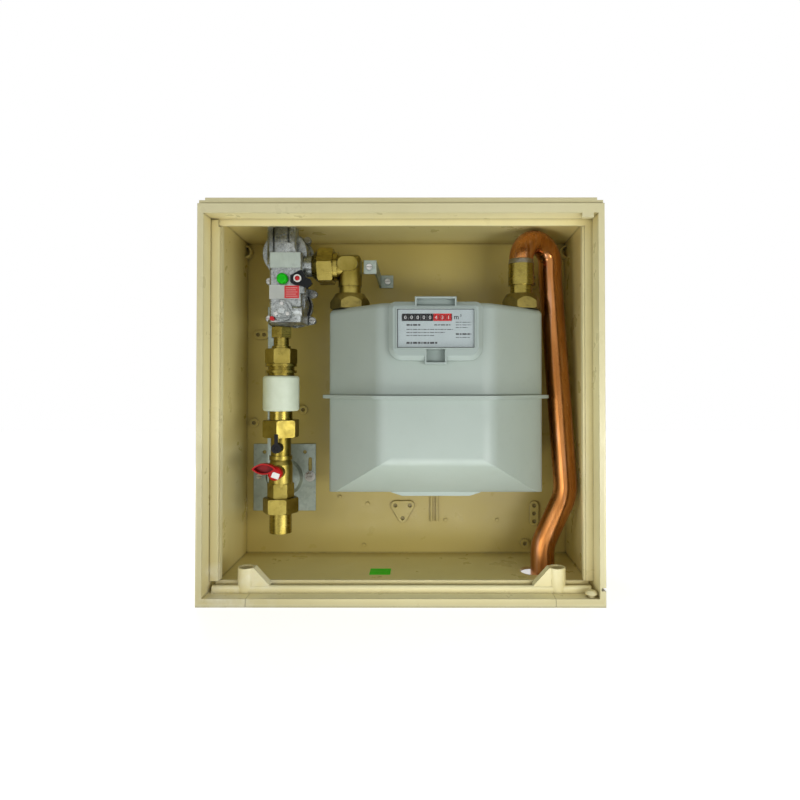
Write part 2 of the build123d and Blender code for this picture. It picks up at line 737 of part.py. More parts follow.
def hinge_rail():
    """Rail with a rounded nose, two door posts and the middle of the front lip."""
    reach = BOX_W / 2 - RAIL_END_GAP
    z1 = FLOOR_FRONT + RAIL_H
    rail = block(-reach, reach, RAIL_Y, RAIL_Y + RAIL_D, FLOOR_FRONT, z1)
    nose = rail.edges().filter_by(Axis.X).group_by(Axis.Y)[0]
    rail = fillet(nose.sort_by(Axis.Z)[-1], RAIL_NOSE_R)
    rear = RAIL_Y + RAIL_D - RAIL_REAR_T
    rail += block(-reach, reach, rear, RAIL_Y + RAIL_D, FLOOR_FRONT, z1 + RAIL_REAR_H)
    rail -= block(-reach - FIT, reach + FIT, RAIL_Y + RAIL_FRONT_T, rear, z1 - RAIL_GROOVE_D, z1 + FIT)
    rail += block(-LIP_HALF, LIP_HALF, FRONT_Y, RAIL_Y + LIP_KEY, 0, FLOOR_FRONT)
    for side in (-1, 1):
        rail += rail_post(side)
    for side in (-1, 1):
        top = z1 + POST_H
        rail -= rod_z(side * POST_X, RAIL_Y + RAIL_D / 2, top - POST_BORE_D, top + FIT, POST_BORE_R)
    return rail


def rail_pin():
    """Mushroom-headed pin beside the right end of the rail."""
    z = FLOOR_FRONT
    neck = z + PIN_H
    top = neck + PIN_HEAD_H
    pin = turned((0, z), (PIN_R, z), (PIN_R, neck), (PIN_HEAD_R, neck), (PIN_HEAD_R, neck + PIN_HEAD_H / 3),
                 (PIN_R, top), (0, top))
    return Pos(BOX_W / 2 - PIN_FROM_SIDE, FRONT_Y + PIN_FROM_FRONT, 0) * pin


def meter_plan(grow=0.0):
    """Six-sided plan of the meter with rounded creases."""
    half_w = METER_W / 2 + grow
    half_d = METER_D / 2 + grow
    flat = METER_W / 2 - METER_FACET + grow / 2
    corners = [(-half_w, 0), (-flat, -half_d), (flat, -half_d), (half_w, 0), (flat, half_d), (-flat, half_d)]
    plan = Polygon(*corners, align=None)
    creases = plan.vertices().sort_by(Axis.X)[1:-1]
    plan = fillet(creases, METER_CREASE_R)
    tips = plan.vertices().group_by(Axis.X)
    return Pos(METER_X, PORT_Y) * fillet(tips[0] + tips[-1], METER_TIP_R)


def meter_upper_case():
    """Upper pressing of the meter with its seam flange and the two threaded ports."""
    body = extrude(Pos(0, 0, SEAM_Z) * meter_plan(), METER_UPPER_H)
    body = fillet(body.faces().sort_by(Axis.Z)[-1].edges(), METER_TOP_R)
    body += extrude(Pos(0, 0, SEAM_Z) * meter_plan(FLANGE_OUT), FLANGE_T)
    for x in (INLET_PORT_X, OUTLET_PORT_X):
        body += rod_z(x, PORT_Y, METER_TOP - METER_TOP_R, METER_SEAT_Z, PORT_R)
        body -= rod_z(x, PORT_Y, METER_TOP, METER_SEAT_Z + FIT, PORT_BORE_R)
    axis_y, axis_z = drum_axis()
    pocket = DRUM_R + 2 * RUN
    return body - block(count_left(), count_left() + COUNT_W, METER_FRONT_Y - FIT, axis_y + pocket,
                        axis_z - pocket, axis_z + pocket)


def meter_lower_case():
    """Lower pressing of the meter, sloped in to a narrow keel, with its seam flange."""
    low = SEAM_Z - METER_LOWER_H
    body = extrude(Pos(0, 0, low) * meter_plan(), METER_LOWER_H)
    half_d = METER_D / 2
    keel = METER_KEEL / 2
    profile = Polygon((-half_d, SEAM_Z), (-half_d, low + METER_SLOPE_H), (-keel, low), (keel, low),
                      (half_d, low + METER_SLOPE_H), (half_d, SEAM_Z), align=None)
    profile = fillet(profile.vertices().sort_by(Axis.Y)[:4], METER_SLOPE_R)
    wedge = extrude(Plane.YZ.offset(METER_X - METER_W) * Pos(PORT_Y, 0) * profile, 2 * METER_W, dir=(1, 0, 0))
    body = body & wedge
    reach = PAD_W / 2
    pad = Polygon((-reach - PAD_END, PAD_H), (-reach - PAD_END, 0), (-reach, -PAD_H), (reach, -PAD_H),
                  (reach + PAD_END, 0), (reach + PAD_END, PAD_H), align=None)
    body += slab(Pos(METER_X, low) * pad, PORT_Y - keel, PORT_Y + keel)
    body += extrude(Pos(0, 0, SEAM_Z - FLANGE_T) * meter_plan(FLANGE_OUT), FLANGE_T)
    return body


def index_top():
    """Height of the index housing's top."""
    return METER_TOP + INDEX_ABOVE


def index_x():
    """Middle of the index across the cabinet."""
    return METER_X + INDEX_SHIFT


def dial_corner():
    """Left edge and top of the dial."""
    return index_x() - DIAL_W / 2, index_top() - DIAL_DROP


def dial_back_y():
    """Depth of the seat that the dial lies on."""
    return METER_FRONT_Y - INDEX_D + GLASS_SET + GLASS_T + GLASS_GAP + DIAL_T


def drum_axis():
    """Depth and height of the drums' shaft."""
    return dial_back_y() + DRUM_R + RUN, dial_corner()[1] - COUNT_DROP


def count_left():
    """Left end of the counter's slot."""
    return dial_corner()[0] + COUNT_FROM_LEFT


def index_housing():
    """Moulded index housing with the dial seat, the drum pocket, the top notch and the seal tongue."""
    x = index_x()
    top = index_top()
    low = top - INDEX_H
    front = METER_FRONT_Y - INDEX_D
    outline = Pos(x, (top + low) / 2) * Rectangle(INDEX_W, INDEX_H)
    by_height = outline.vertices().sort_by(Axis.Y)
    outline = fillet(by_height[:2], INDEX_LOW_R)
    outline = fillet(outline.vertices().sort_by(Axis.Y)[-2:], INDEX_TOP_R)
    housing = slab(outline, front, METER_FRONT_Y)
    housing = chamfer(housing.faces().sort_by(Axis.Y)[0].edges(), INDEX_SKIRT)
    tongue = Pos(x, low - TONGUE_BELOW + TONGUE_H / 2) * Rectangle(TONGUE_W, TONGUE_H)
    tab_top = top + TAB_UP
    tab = Pos(x, tab_top - TAB_H / 2) * Rectangle(TAB_W, TAB_H)
    housing += slab(tongue + tab, front, METER_FRONT_Y)
    left, dial_top = dial_corner()
    middle = Pos(left + DIAL_W / 2, dial_top - DIAL_H / 2)
    frame = middle * Rectangle(DIAL_W + 2 * FRAME_W, DIAL_H + 2 * FRAME_W)
    housing += slab(frame, front - FRAME_H, front)
    housing -= slab(middle * Rectangle(DIAL_W, DIAL_H), front - 2 * FRAME_H, dial_back_y())
    axis_y, axis_z = drum_axis()
    pocket = DRUM_R + 2 * RUN
    start = count_left()
    housing -= block(start, start + COUNT_W, front, METER_FRONT_Y + FIT, axis_z - pocket, axis_z + pocket)
    housing -= rod_x(axis_y, axis_z, start - DRUM_SHAFT_SEAT, start + COUNT_W + DRUM_SHAFT_SEAT,
                     DRUM_SHAFT_R + FIT)
    reach = TAB_W / 2 - TAB_WALL
    housing -= block(x - reach, x + reach, front - FIT, front + TAB_D,
                     tab_top - TAB_H + TAB_WALL, tab_top - TAB_WALL)
    inner = TONGUE_W / 2 - TONGUE_WALL
    housing -= block(x - inner, x + inner, front - FIT, front + TONGUE_D, low - TONGUE_BELOW + TONGUE_WALL,
                     low - TONGUE_BELOW + TONGUE_H - TONGUE_WALL)
    return housing


def index_plate():
    """Dial plate with the counter's slot."""
    left, top = dial_corner()
    y1 = dial_back_y()
    axis_z = drum_axis()[1]
    plate = block(left + FIT, left + DIAL_W - FIT, y1 - DIAL_T, y1, top - DIAL_H + FIT, top - FIT)
    start = count_left()
    return plate - block(start, start + COUNT_W, y1 - 2 * DIAL_T, y1 + DIAL_T,
                         axis_z - COUNT_H / 2, axis_z + COUNT_H / 2)


def index_window():
    """Clear window over the dial."""
    left, top = dial_corner()
    y0 = METER_FRONT_Y - INDEX_D + GLASS_SET
    return block(left + FIT, left + DIAL_W - FIT, y0, y0 + GLASS_T, top - DIAL_H + FIT, top - FIT)


def drum_shaft():
    """Shaft of the number drums."""
    axis_y, axis_z = drum_axis()
    start = count_left()
    return rod_x(axis_y, axis_z, start - DRUM_SHAFT_SEAT, start + COUNT_W + DRUM_SHAFT_SEAT, DRUM_SHAFT_R)


def number_drum(i):
    """One number drum, counted from the left."""
    axis_y, axis_z = drum_axis()
    row = DRUM_PITCH * DRUM_COUNT
    middle = count_left() + (COUNT_W - row) / 2 + DRUM_PITCH * (i + 0.5)
    drum = rod_x(axis_y, axis_z, middle - DRUM_W / 2, middle + DRUM_W / 2, DRUM_R)
    return drum - rod_x(axis_y, axis_z, middle - DRUM_W, middle + DRUM_W, DRUM_SHAFT_R + SHAFT_RUN)


def union_nut(neck_r):
    """Conical union nut on a meter port, with its lip over the collar of the fitting above."""
    z0 = METER_SEAT_Z + COLLAR_H + UNION_LIP - UNION_NUT_H
    z1 = z0 + UNION_NUT_H
    lip = z1 - UNION_LIP
    bore = COLLAR_R + FIT
    corner = UNION_NUT_AF / math.sqrt(3)
    nut = turned((PORT_R + FIT, z0), (corner, z0), (corner, z0 + UNION_NUT_RIM), (UNION_NUT_TOP_R, z1),
                 (neck_r + FIT, z1), (neck_r + FIT, lip + FIT), (bore, lip + FIT),
                 (bore, METER_SEAT_Z - FIT), (PORT_R + FIT, METER_SEAT_Z - FIT))
    return nut & hexagon(UNION_NUT_AF, z0, z1, turn=UNION_NUT_TURN)


def outlet_tailpiece():
    """Turned tailpiece between the meter's outlet and the copper pipe."""
    z0 = METER_SEAT_Z
    neck = z0 + COLLAR_H
    socket = neck + UNION_LIP + TAIL_NECK_H
    seat = socket + SOCKET_SEAT
    top = socket + SOCKET_H
    bore = PIPE_R - PIPE_WALL
    piece = turned((PORT_BORE_R, z0), (COLLAR_R, z0), (COLLAR_R, neck), (PORT_R, neck), (PORT_R, socket),
                   (SOCKET_R, socket), (SOCKET_R, top), (PIPE_R + FIT, top), (PIPE_R + FIT, seat),
                   (bore, seat), (PORT_BORE_R, socket))
    return at_port(OUTLET_PORT_X, piece)


def socket_top():
    """Height of the solder socket's mouth."""
    return METER_SEAT_Z + COLLAR_H + UNION_LIP + TAIL_NECK_H + SOCKET_H


def solder_ring():
    """Fillet of solder round the pipe at the socket's mouth."""
    z = socket_top()
    inner = PIPE_R + FIT
    ring = turned((inner, z), (inner + SOLDER_OUT, z), (inner + SOLDER_OUT / 2, z + SOLDER_H / 2),
                  (inner, z + SOLDER_H))
    return at_port(OUTLET_PORT_X, ring)


def pipe_low():
    """Lower bend of the copper pipe, beside the side wall."""
    y = PORT_Y + PIPE_LOW_Y
    return inner_half(y) - PIPE_SIDE_GAP - PIPE_R, y, FLOOR_FRONT + PIPE_LOW_H


def pipe_path():
    """Centre line of the copper pipe: over the U bend, down beside the meter and through the floor."""
    span = 2 * BEND_R
    bend_y = math.sqrt(span * span - BEND_X * BEND_X)
    crown = roof_z(PORT_Y + bend_y) - PIPE_ROOF_GAP - PIPE_R
    top = crown - BEND_R
    start = Vector(OUTLET_PORT_X, PORT_Y, socket_top() - SOCKET_H + SOCKET_SEAT + FIT)
    rise = Vector(OUTLET_PORT_X, PORT_Y, top)
    fall = Vector(OUTLET_PORT_X + BEND_X, PORT_Y + bend_y, top)
    over = Vector(OUTLET_PORT_X + BEND_X / 2, PORT_Y + bend_y / 2, crown)
    below = fall - Vector(0, 0, PIPE_R)
    bend = Vector(*pipe_low())
    step = bend - Vector(PIPE_OFFSET, 0, PIPE_OFFSET_H)
    foot = Vector(step.X, step.Y, PIPE_FOOT)
    drop = FilletPolyline(fall, below, bend, step, foot, radius=PIPE_BEND_R)
    return Wire([Edge.make_line(start, rise), ThreePointArc(rise, over, fall).edge(), *drop.edges()])


def copper_pipe():
    """Bent copper pipe from the outlet union to the floor."""
    path = pipe_path()
    at_start = Plane(path @ 0, z_dir=path % 0)
    outer = sweep(at_start * Circle(PIPE_R), path=path)
    inner = sweep(at_start * Circle(PIPE_R - PIPE_WALL), path=path)
    return outer - inner


def service_tail():
    """Plain tail that takes the incoming service pipe."""
    z0 = SERVICE_END_Z
    neck = SERVICE_NUT_Z + NUT_LIP
    top = HEX_Z - SPIGOT_L
    shoulder = SERVICE_NUT_Z - SERVICE_NECK_GAP
    return at_train(turned((SERVICE_TAIL_BORE, z0), (SERVICE_TAIL_R, z0), (SERVICE_TAIL_R, shoulder),
                           (SERVICE_NECK_R, shoulder), (SERVICE_NECK_R, neck), (SPIGOT_R, neck),
                           (SPIGOT_R, top), (GAS_R, top), (GAS_R, neck),
                           (SERVICE_TAIL_BORE, SERVICE_NUT_Z)))


def service_union_nut():
    """Hexagon nut that holds the service tail to the valve."""
    nut = hexagon(SERVICE_NUT_AF, SERVICE_NUT_Z, HEX_Z)
    nut -= tube(SERVICE_NECK_R + FIT, 0, SERVICE_NUT_Z - FIT, SERVICE_NUT_Z + NUT_LIP)
    return at_train(nut - tube(SPIGOT_R + FIT, 0, SERVICE_NUT_Z + NUT_LIP - FIT, HEX_Z + FIT))


def valve_body():
    """Valve body with its hexagon, ball chamber, gland and two threaded ends."""
    top = VALVE_NUT_Z + SPIGOT_L
    collar_top = COLLAR_Z + VALVE_COLLAR_H
    body = turned((0, HEX_Z - SPIGOT_L), (SPIGOT_R, HEX_Z - SPIGOT_L), (SPIGOT_R, HEX_Z), (0, HEX_Z))
    body += hexagon(VALVE_HEX_AF, HEX_Z, HOUSING_Z + VALVE_COLLAR_H, turn=VALVE_HEX_TURN, bevel=1.0)
    body += turned((0, HOUSING_Z), (VALVE_HEX_AF / 2, HOUSING_Z), (BALL_HOUSING_R, HOUSING_Z + VALVE_TAPER),
                   (BALL_HOUSING_R, COLLAR_Z - VALVE_TAPER), (VALVE_NECK_R, COLLAR_Z),
                   (VALVE_COLLAR_R, COLLAR_Z),
                   (VALVE_COLLAR_R, collar_top), (VALVE_NECK_R, collar_top), (VALVE_NECK_R, VALVE_NUT_Z),
                   (SPIGOT_R, VALVE_NUT_Z), (SPIGOT_R, top), (0, top))
    body += rod_y(0, BALL_Z, -BALL_HOUSING_R - GLAND_L, 0, GLAND_R)
    body += rod_y(0, TEST_POINT_Z, -VALVE_NECK_R - TEST_PAD, 0, CAP_R)
    chamber = BALL_R + RUN
    half = seat_start() + SEAT_L
    body -= tube(GAS_R, 0, HEX_Z - SPIGOT_L - FIT, top + FIT)
    body -= tube(chamber, 0, BALL_Z - half, BALL_Z + half)
    body -= rod_y(0, BALL_Z, -BALL_HOUSING_R - GLAND_L - FIT, 0, STEM_R + SHAFT_RUN)
    return at_train(body)


def seat_start():
    """Height above the ball's centre at which a seat ring begins."""
    reach = BALL_R + RUN
    return math.sqrt(reach * reach - SEAT_BORE_R * SEAT_BORE_R)


def valve_seats():
    """Pair of seat rings above and below the ball."""
    start = seat_start()
    outer = BALL_R + RUN - FIT
    upper = tube(outer, SEAT_BORE_R, BALL_Z + start, BALL_Z + start + SEAT_L)
    lower = tube(outer, SEAT_BORE_R, BALL_Z - start - SEAT_L, BALL_Z - start)
    return Compound([at_train(upper), at_train(lower)])


def valve_ball():
    """Ball with its way across the pipe, as when the valve is shut."""
    ball = Pos(0, 0, BALL_Z) * Sphere(BALL_R)
    ball -= rod_x(0, BALL_Z, -BALL_R, BALL_R, BALL_BORE_R)
    w, h, depth = STEM_TANG
    ball -= block(-w / 2 - FIT, w / 2 + FIT, -BALL_R - FIT, -BALL_R + depth,
                  BALL_Z - h / 2 - FIT, BALL_Z + h / 2 + FIT)
    return at_train(ball)


def hub_y():
    """Depth of the handle's rear face, ahead of the gland."""
    return -BALL_HOUSING_R - GLAND_L - HUB_GAP


def valve_stem():
    """Stem with the tang that turns the ball."""
    w, h, depth = STEM_TANG
    stem = rod_y(0, BALL_Z, hub_y() - HUB_SEAT, -BALL_R - RUN, STEM_R)
    stem += block(-w / 2, w / 2, -BALL_R - RUN, -BALL_R + depth - FIT, BALL_Z - h / 2, BALL_Z + h / 2)
    return at_train(stem)


def eye(length, width):
    """Pointed oval made of two arcs."""
    a = length / 2
    b = width / 2
    r = (a * a + b * b) / (2 * b)
    return (Pos(0, r - b) * Circle(r)) & (Pos(0, b - r) * Circle(r))


def valve_handle():
    """Quarter-turn handle: a hub on the stem and a hollow pointed wing."""
    rear = hub_y()
    front = rear - HUB_L
    handle = rod_y(0, BALL_Z, front, rear, HUB_R)
    handle = chamfer(handle.edges().filter_by(GeomType.CIRCLE).sort_by(Axis.Y)[0], HUB_BEVEL)
    wing = Pos(-WING_X, BALL_Z + WING_UP) * eye(WING_L, WING_W)
    hollow = Pos(-WING_X, BALL_Z + WING_UP) * eye(WING_L - 4 * WING_WALL, WING_W - 2 * WING_WALL)
    handle += slab(wing, front - WING_FRONT, front - WING_FRONT + WING_D)
    handle -= slab(hollow, front - WING_FRONT - FIT, front + WING_D - 3 * WING_WALL)
    handle -= rod_y(0, BALL_Z, rear - HUB_SEAT - FIT, rear + FIT, STEM_R + FIT)
    return at_train(handle)


def handle_tag():
    """Small plain tag on the handle's hub."""
    w, h, t = TAG
    front = hub_y() - HUB_L
    middle = Pos(TAG_SHIFT[0], 0, BALL_Z + TAG_SHIFT[1]) * Rot(0, TAG_TURN, 0)
    plate = middle * block(-w / 2, w / 2, front - t, front, -h / 2, h / 2)
    keep = rod_y(0, BALL_Z, front - 2 * t, front + t, HUB_R + w)
    wing = Pos(-WING_X, BALL_Z + WING_UP) * eye(WING_L + 2 * WING_WALL, WING_W + WING_WALL)
    return at_train((plate & keep) - slab(wing, front - 2 * t, front + t))


def test_nipple():
    """Test nipple on the neck of the valve."""
    y0 = -VALVE_NECK_R - TEST_PAD
    return at_train(rod_y(0, TEST_POINT_Z, y0 - TEST_NIPPLE_L, y0, TEST_NIPPLE_R))


def test_cap():
    """Rubber cap on the test nipple, with its strap."""
    y0 = -VALVE_NECK_R - TEST_PAD - FIT
    y1 = -VALVE_NUT_AF / math.sqrt(3) - CAP_STRAP_GAP - CAP_STRAP_T
    cap = rod_y(0, TEST_POINT_Z, y1, y0, CAP_R)
    cap -= rod_y(0, TEST_POINT_Z, y1 - FIT, y1 + CAP_ROOF / 2, CAP_R / 2)
    cap -= rod_y(0, TEST_POINT_Z, y0 - TEST_NIPPLE_L - FIT, y0 + FIT, TEST_NIPPLE_R + FIT)
    strap_z = TEST_POINT_Z + CAP_R - CAP_STRAP_T / 2
    cap += block(-CAP_STRAP_W / 2, CAP_STRAP_W / 2, y1, y1 + CAP_STRAP_T, strap_z, strap_z + CAP_STRAP_H)
    return at_train(cap)


def valve_union_nut():
    """Hexagon nut that holds the lower tail of the insulating joint to the valve."""
    lip = LOWER_TAIL_Z - NUT_LIP
    nut = hexagon(VALVE_NUT_AF, VALVE_NUT_Z, LOWER_TAIL_Z, turn=VALVE_NUT_TURN)
    nut -= tube(LOWER_TAIL_R + FIT, 0, lip, LOWER_TAIL_Z + FIT)
    return at_train(nut - tube(SPIGOT_R + FIT, 0, VALVE_NUT_Z - FIT, lip + FIT))


def lower_tail():
    """Brass tail below the insulating sleeve."""
    foot = VALVE_NUT_Z + SPIGOT_L
    neck = LOWER_TAIL_Z - NUT_LIP
    top = SLEEVE_Z + SLEEVE_INSERT
    return at_train(turned((GAS_R, foot), (SPIGOT_R, foot), (SPIGOT_R, neck), (LOWER_TAIL_R, neck),
                           (LOWER_TAIL_R, top), (GAS_R, top)))


def insulating_sleeve():
    """Moulded sleeve that keeps the two brass tails electrically apart."""
    top = SLEEVE_Z + SLEEVE_H
    low_end = SLEEVE_Z + SLEEVE_INSERT
    high_end = top - SLEEVE_INSERT
    blank = Pos(0, 0, (SLEEVE_Z + top) / 2) * Cylinder(SLEEVE_R, SLEEVE_H)
    sleeve = fillet(blank.edges().filter_by(GeomType.CIRCLE), SLEEVE_EDGE_R)
    sleeve -= tube(LOWER_TAIL_R + FIT, 0, SLEEVE_Z - FIT, low_end + FIT)
    sleeve -= tube(GAS_R, 0, low_end, high_end)
    return at_train(sleeve - tube(LOWER_TAIL_R + FIT, 0, high_end - FIT, top + FIT))


def upper_tail():
    """Brass tail above the insulating sleeve, with two turned rings and a threaded end."""
    foot = SLEEVE_Z + SLEEVE_H - SLEEVE_INSERT
    ring_low = ISO_NECK_Z + ISO_RING_H
    ring_high = ISO_NUT_Z - ISO_RING_H
    top = ISO_NUT_Z + ISO_NUT_H - NUT_LIP - NIPPLE_RING_H
    return at_train(turned((GAS_R, foot), (LOWER_TAIL_R, foot), (LOWER_TAIL_R, ISO_NECK_Z),
                           (ISO_NECK_R, ISO_NECK_Z), (ISO_NECK_R, ring_low), (ISO_RING_R, ring_low),
                           (ISO_RING_R, ring_low + ISO_RING_H), (ISO_NECK_R, ring_low + ISO_RING_H),
                           (ISO_NECK_R, ring_high), (ISO_RING_R, ring_high), (ISO_RING_R, ISO_NUT_Z),
                           (SPIGOT_R, ISO_NUT_Z), (SPIGOT_R, top), (GAS_R, top)))


def isolator_union_nut():
    """Hexagon nut between the insulating joint and the nipple."""
    lip = ISO_NUT_Z + ISO_NUT_H - NUT_LIP
    nut = hexagon(ISO_NUT_AF, ISO_NUT_Z, NIPPLE_Z, turn=ISO_NUT_TURN)
    nut -= tube(NIPPLE_RING_R + FIT, 0, lip, NIPPLE_Z + FIT)
    return at_train(nut - tube(SPIGOT_R + FIT, 0, ISO_NUT_Z - FIT, lip + FIT))


def inlet_nipple():
    """Nipple into the regulator, with a collar held in the nut below."""
    foot = NIPPLE_Z - NUT_LIP - NIPPLE_RING_H
    collar = NIPPLE_Z - NUT_LIP
    ring = INLET_NUT_Z - NIPPLE_RING_H
    top = REG_Z - SMALL_SPIGOT_L
    bore = NIPPLE_BORE_R
    return at_train(turned((bore, foot), (SPIGOT_R, foot), (SPIGOT_R, collar), (NIPPLE_RING_R, collar),
                           (NIPPLE_RING_R, NIPPLE_Z + NIPPLE_RING_H), (NIPPLE_R, NIPPLE_Z + NIPPLE_RING_H),
                           (NIPPLE_R, ring), (NIPPLE_R, INLET_NUT_Z + NUT_LIP / 2),
                           (SMALL_SPIGOT_R, INLET_NUT_Z + NUT_LIP / 2), (SMALL_SPIGOT_R, top), (bore, top)))


def regulator_inlet_nut():
    """Small hexagon nut under the regulator."""
    lip = INLET_NUT_Z + NUT_LIP / 2
    nut = hexagon(INLET_NUT_AF, INLET_NUT_Z, REG_Z, turn=INLET_NUT_TURN, bevel=1.0)
    nut -= tube(NIPPLE_R + FIT, 0, INLET_NUT_Z - FIT, lip)
    return at_train(nut - tube(SMALL_SPIGOT_R + FIT, 0, lip - FIT, REG_Z + FIT))


def ear_places():
    """Places in X and Z of the ears round the regulator's joint plane."""
    left = REG_X - REG_W / 2 - EAR_OUT - EAR_R
    right = REG_X + REG_W / 2 + EAR_OUT
    rim = (DISH_R + EAR_R / 4) / math.sqrt(2)
    return [(left, BUTTON_Z + EAR_R), (right, BUTTON_Z - SHOULDER_H / 2), (left, SLAM_Z - EAR_R),
            (REG_X + REG_W / 2 + EAR_R, LOWER_Z - LOWER_NECK_R + EAR_R / 2),
            (DISH_X + rim, DISH_Z + rim)]


def joint_flange(y0, y1):
    """Flange at the joint plane: two discs and the ears with their tapering webs."""
    flange = rod_y(DISH_X, DISH_Z, y0, y1, DISH_R) + rod_y(LOWER_X, LOWER_Z, y0, y1, LOWER_R)
    for x, z in ear_places():
        anchor = (DISH_X, DISH_Z) if z > OUTLET_Z else (LOWER_X, min(z, LOWER_Z + LOWER_R))
        ear = make_hull([(Pos(x, z) * Circle(EAR_R)).edge(), (Pos(*anchor) * Circle(2 * EAR_R)).edge()])
        flange += slab(ear, y0, y1)
    for x, z in ear_places():
        flange -= rod_y(x, z, y0 - FIT, y1 + FIT, EAR_HOLE_R)
    return flange


def regulator_tower():
    """Rounded tower on top of the regulator, with a slot down its front."""
    y0 = PORT_Y - TOWER_FRONT
    z0 = OUTLET_Z + REG_TOP
    x = TRAIN_X + TOWER_SHIFT
    tower = block(x - TOWER_W / 2, x + TOWER_W / 2, y0, y0 + TOWER_D, z0 - REG_TOP, z0 + TOWER_H)
    tower = fillet(tower.edges().filter_by(Axis.Z), TOWER_EDGE_R)
    slot = TOWER_SLOT_W / 2
    for offset_x in (-TOWER_W / 4, TOWER_W / 4):
        tower -= block(x + offset_x - slot, x + offset_x + slot, y0 - FIT, y0 + TOWER_SLOT_D,
                       z0, z0 + TOWER_H + FIT)
    return tower


def regulator_body():
    """Die-cast regulator body with its tower, two discs, outlet boss, slam-shut housing and ears."""
    half = REG_W / 2
    top = OUTLET_Z + REG_TOP
    foot = REG_Z + REG_FOOT_H
    flange = REG_BACK_Y - JOINT_T
    main = block(REG_X - half, REG_X + half, REG_FRONT_Y, flange, foot, top)
    main = fillet(main.edges().filter_by(Axis.Z), REG_EDGE_R)
    main += at_train(turned((0, REG_Z - SMALL_SPIGOT_L), (SMALL_SPIGOT_R, REG_Z - SMALL_SPIGOT_L),
                            (SMALL_SPIGOT_R, REG_Z), (REG_FOOT_R, REG_Z), (REG_FOOT_TOP_R, foot),
                            (REG_FOOT_TOP_R, foot + EAR_R), (0, foot + EAR_R)))
    main += regulator_tower()
    main += rod_y(REG_X, top, REG_FRONT_Y + SPRING_BOSS_SET, flange, SPRING_BOSS_R)
    main += rod_y(DISH_X, DISH_Z, PORT_Y - DISH_NECK_FRONT, REG_BACK_Y, DISH_NECK_R)
    main += rod_y(LOWER_X, LOWER_Z, PORT_Y - LOWER_FRONT, REG_BACK_Y, LOWER_NECK_R)
    main += joint_flange(flange, REG_BACK_Y)
    main += rod_x(PORT_Y, OUTLET_Z, REG_X, outlet_nut_x() + OUTLET_SPIGOT_L, OUTLET_R)
    main += rod_y(SLAM_X, SLAM_Z, REG_FRONT_Y - SLAM_OUT, PORT_Y, SLAM_R)
    main += rod_x(REG_FRONT_Y + SLAM_SIDE_SET, SLAM_Z, SLAM_X, SLAM_X + SLAM_SIDE_L, SLAM_SIDE_R)
    shoulder = REG_X + half + SHOULDER_W
    middle = BUTTON_Z - SHOULDER_DROP
    main += block(REG_X, shoulder, REG_FRONT_Y, REG_FRONT_Y + SHOULDER_T,
                  middle - SHOULDER_H / 2, middle + SHOULDER_H / 2)
    for x, r, depth in ((RESET_X, RESET_R, RESET_IN + RESET_TRAVEL), (TRIP_X, TRIP_R, TRIP_IN + TRIP_TRAVEL)):
        main -= rod_y(x, BUTTON_Z, REG_FRONT_Y - FIT, REG_FRONT_Y + depth + BUTTON_WELL, r + RUN)
    main -= at_train(rod_z(0, 0, REG_Z - SMALL_SPIGOT_L - FIT, SLAM_Z, GAS_R))
    return main - rod_x(PORT_Y, OUTLET_Z, REG_X, outlet_nut_x() + OUTLET_SPIGOT_L + FIT, ELBOW_BORE_R)


def diaphragm_cover():
    """Rear cover over the regulator's two chambers, dished over the upper one."""
    cover = joint_flange(REG_BACK_Y, REG_BACK_Y + JOINT_T)
    dish = turned((0, 0), (DISH_NECK_R, 0), (DISH_NECK_R, JOINT_T), (DOME_R, DISH_D), (0, DISH_D))
    return cover + Pos(DISH_X, REG_BACK_Y, DISH_Z) * Rot(-90, 0, 0) * dish


def lower_seal():
    """Dark ring round the lower disc, in front of its flange."""
    y1 = REG_BACK_Y - JOINT_T
    ring = rod_y(LOWER_X, LOWER_Z, y1 - SEAL_T, y1, LOWER_NECK_R + SEAL_OUT)
    ring -= rod_y(LOWER_X, LOWER_Z, y1 - 2 * SEAL_T, y1 + FIT, LOWER_NECK_R + FIT)
    half = REG_W / 2 + FIT
    ring -= block(REG_X - half, REG_X + half, y1 - 2 * SEAL_T, y1 + FIT, REG_Z, OUTLET_Z)
    for x, z in ear_places():
        ring -= rod_y(x, z, y1 - 2 * SEAL_T, y1 + FIT, SCREW_HEAD_R + FIT)
    return ring


def slam_lobes():
    """Places in X and Z of the slam-shut cover's three screws."""
    angles = [math.radians(a) for a in (90, 210, 330)]
    return [(SLAM_X + SLAM_LOBE_REACH * math.cos(a), SLAM_Z + SLAM_LOBE_REACH * math.sin(a)) for a in angles]


def slam_shut_cover():
    """Three-lobed front cover of the slam-shut valve, with a raised ring and a hexagon in its middle."""
    y1 = REG_FRONT_Y - SLAM_OUT
    y0 = y1 - SLAM_COVER_T
    outline = make_hull([(Pos(*lobe) * Circle(SLAM_LOBE_R)).edge() for lobe in slam_lobes()])
    cover = slab(outline, y0, y1)
    middle = turned((0, 0), (SLAM_RING_R, 0), (SLAM_RING_R, SLAM_RING_H), (0, SLAM_RING_H))
    middle += hexagon(SLAM_NUT_AF, 0, SLAM_NUT_H, turn=VALVE_HEX_TURN, bevel=1.0)
    cover += Pos(SLAM_X, y0, SLAM_Z) * Rot(90, 0, 0) * middle
    for x, z in slam_lobes():
        cover -= rod_y(x, z, y0 - SLAM_NUT_H, y0, SLAM_SCREW_R + FIT)
    return cover


def domed_button(x, z, r, y_out, y_in):
    """Button along Y with a rounded front."""
    button = rod_y(x, z, y_out, y_in, r)
    return fillet(button.edges().filter_by(GeomType.CIRCLE).sort_by(Axis.Y)[0], r * 0.45)


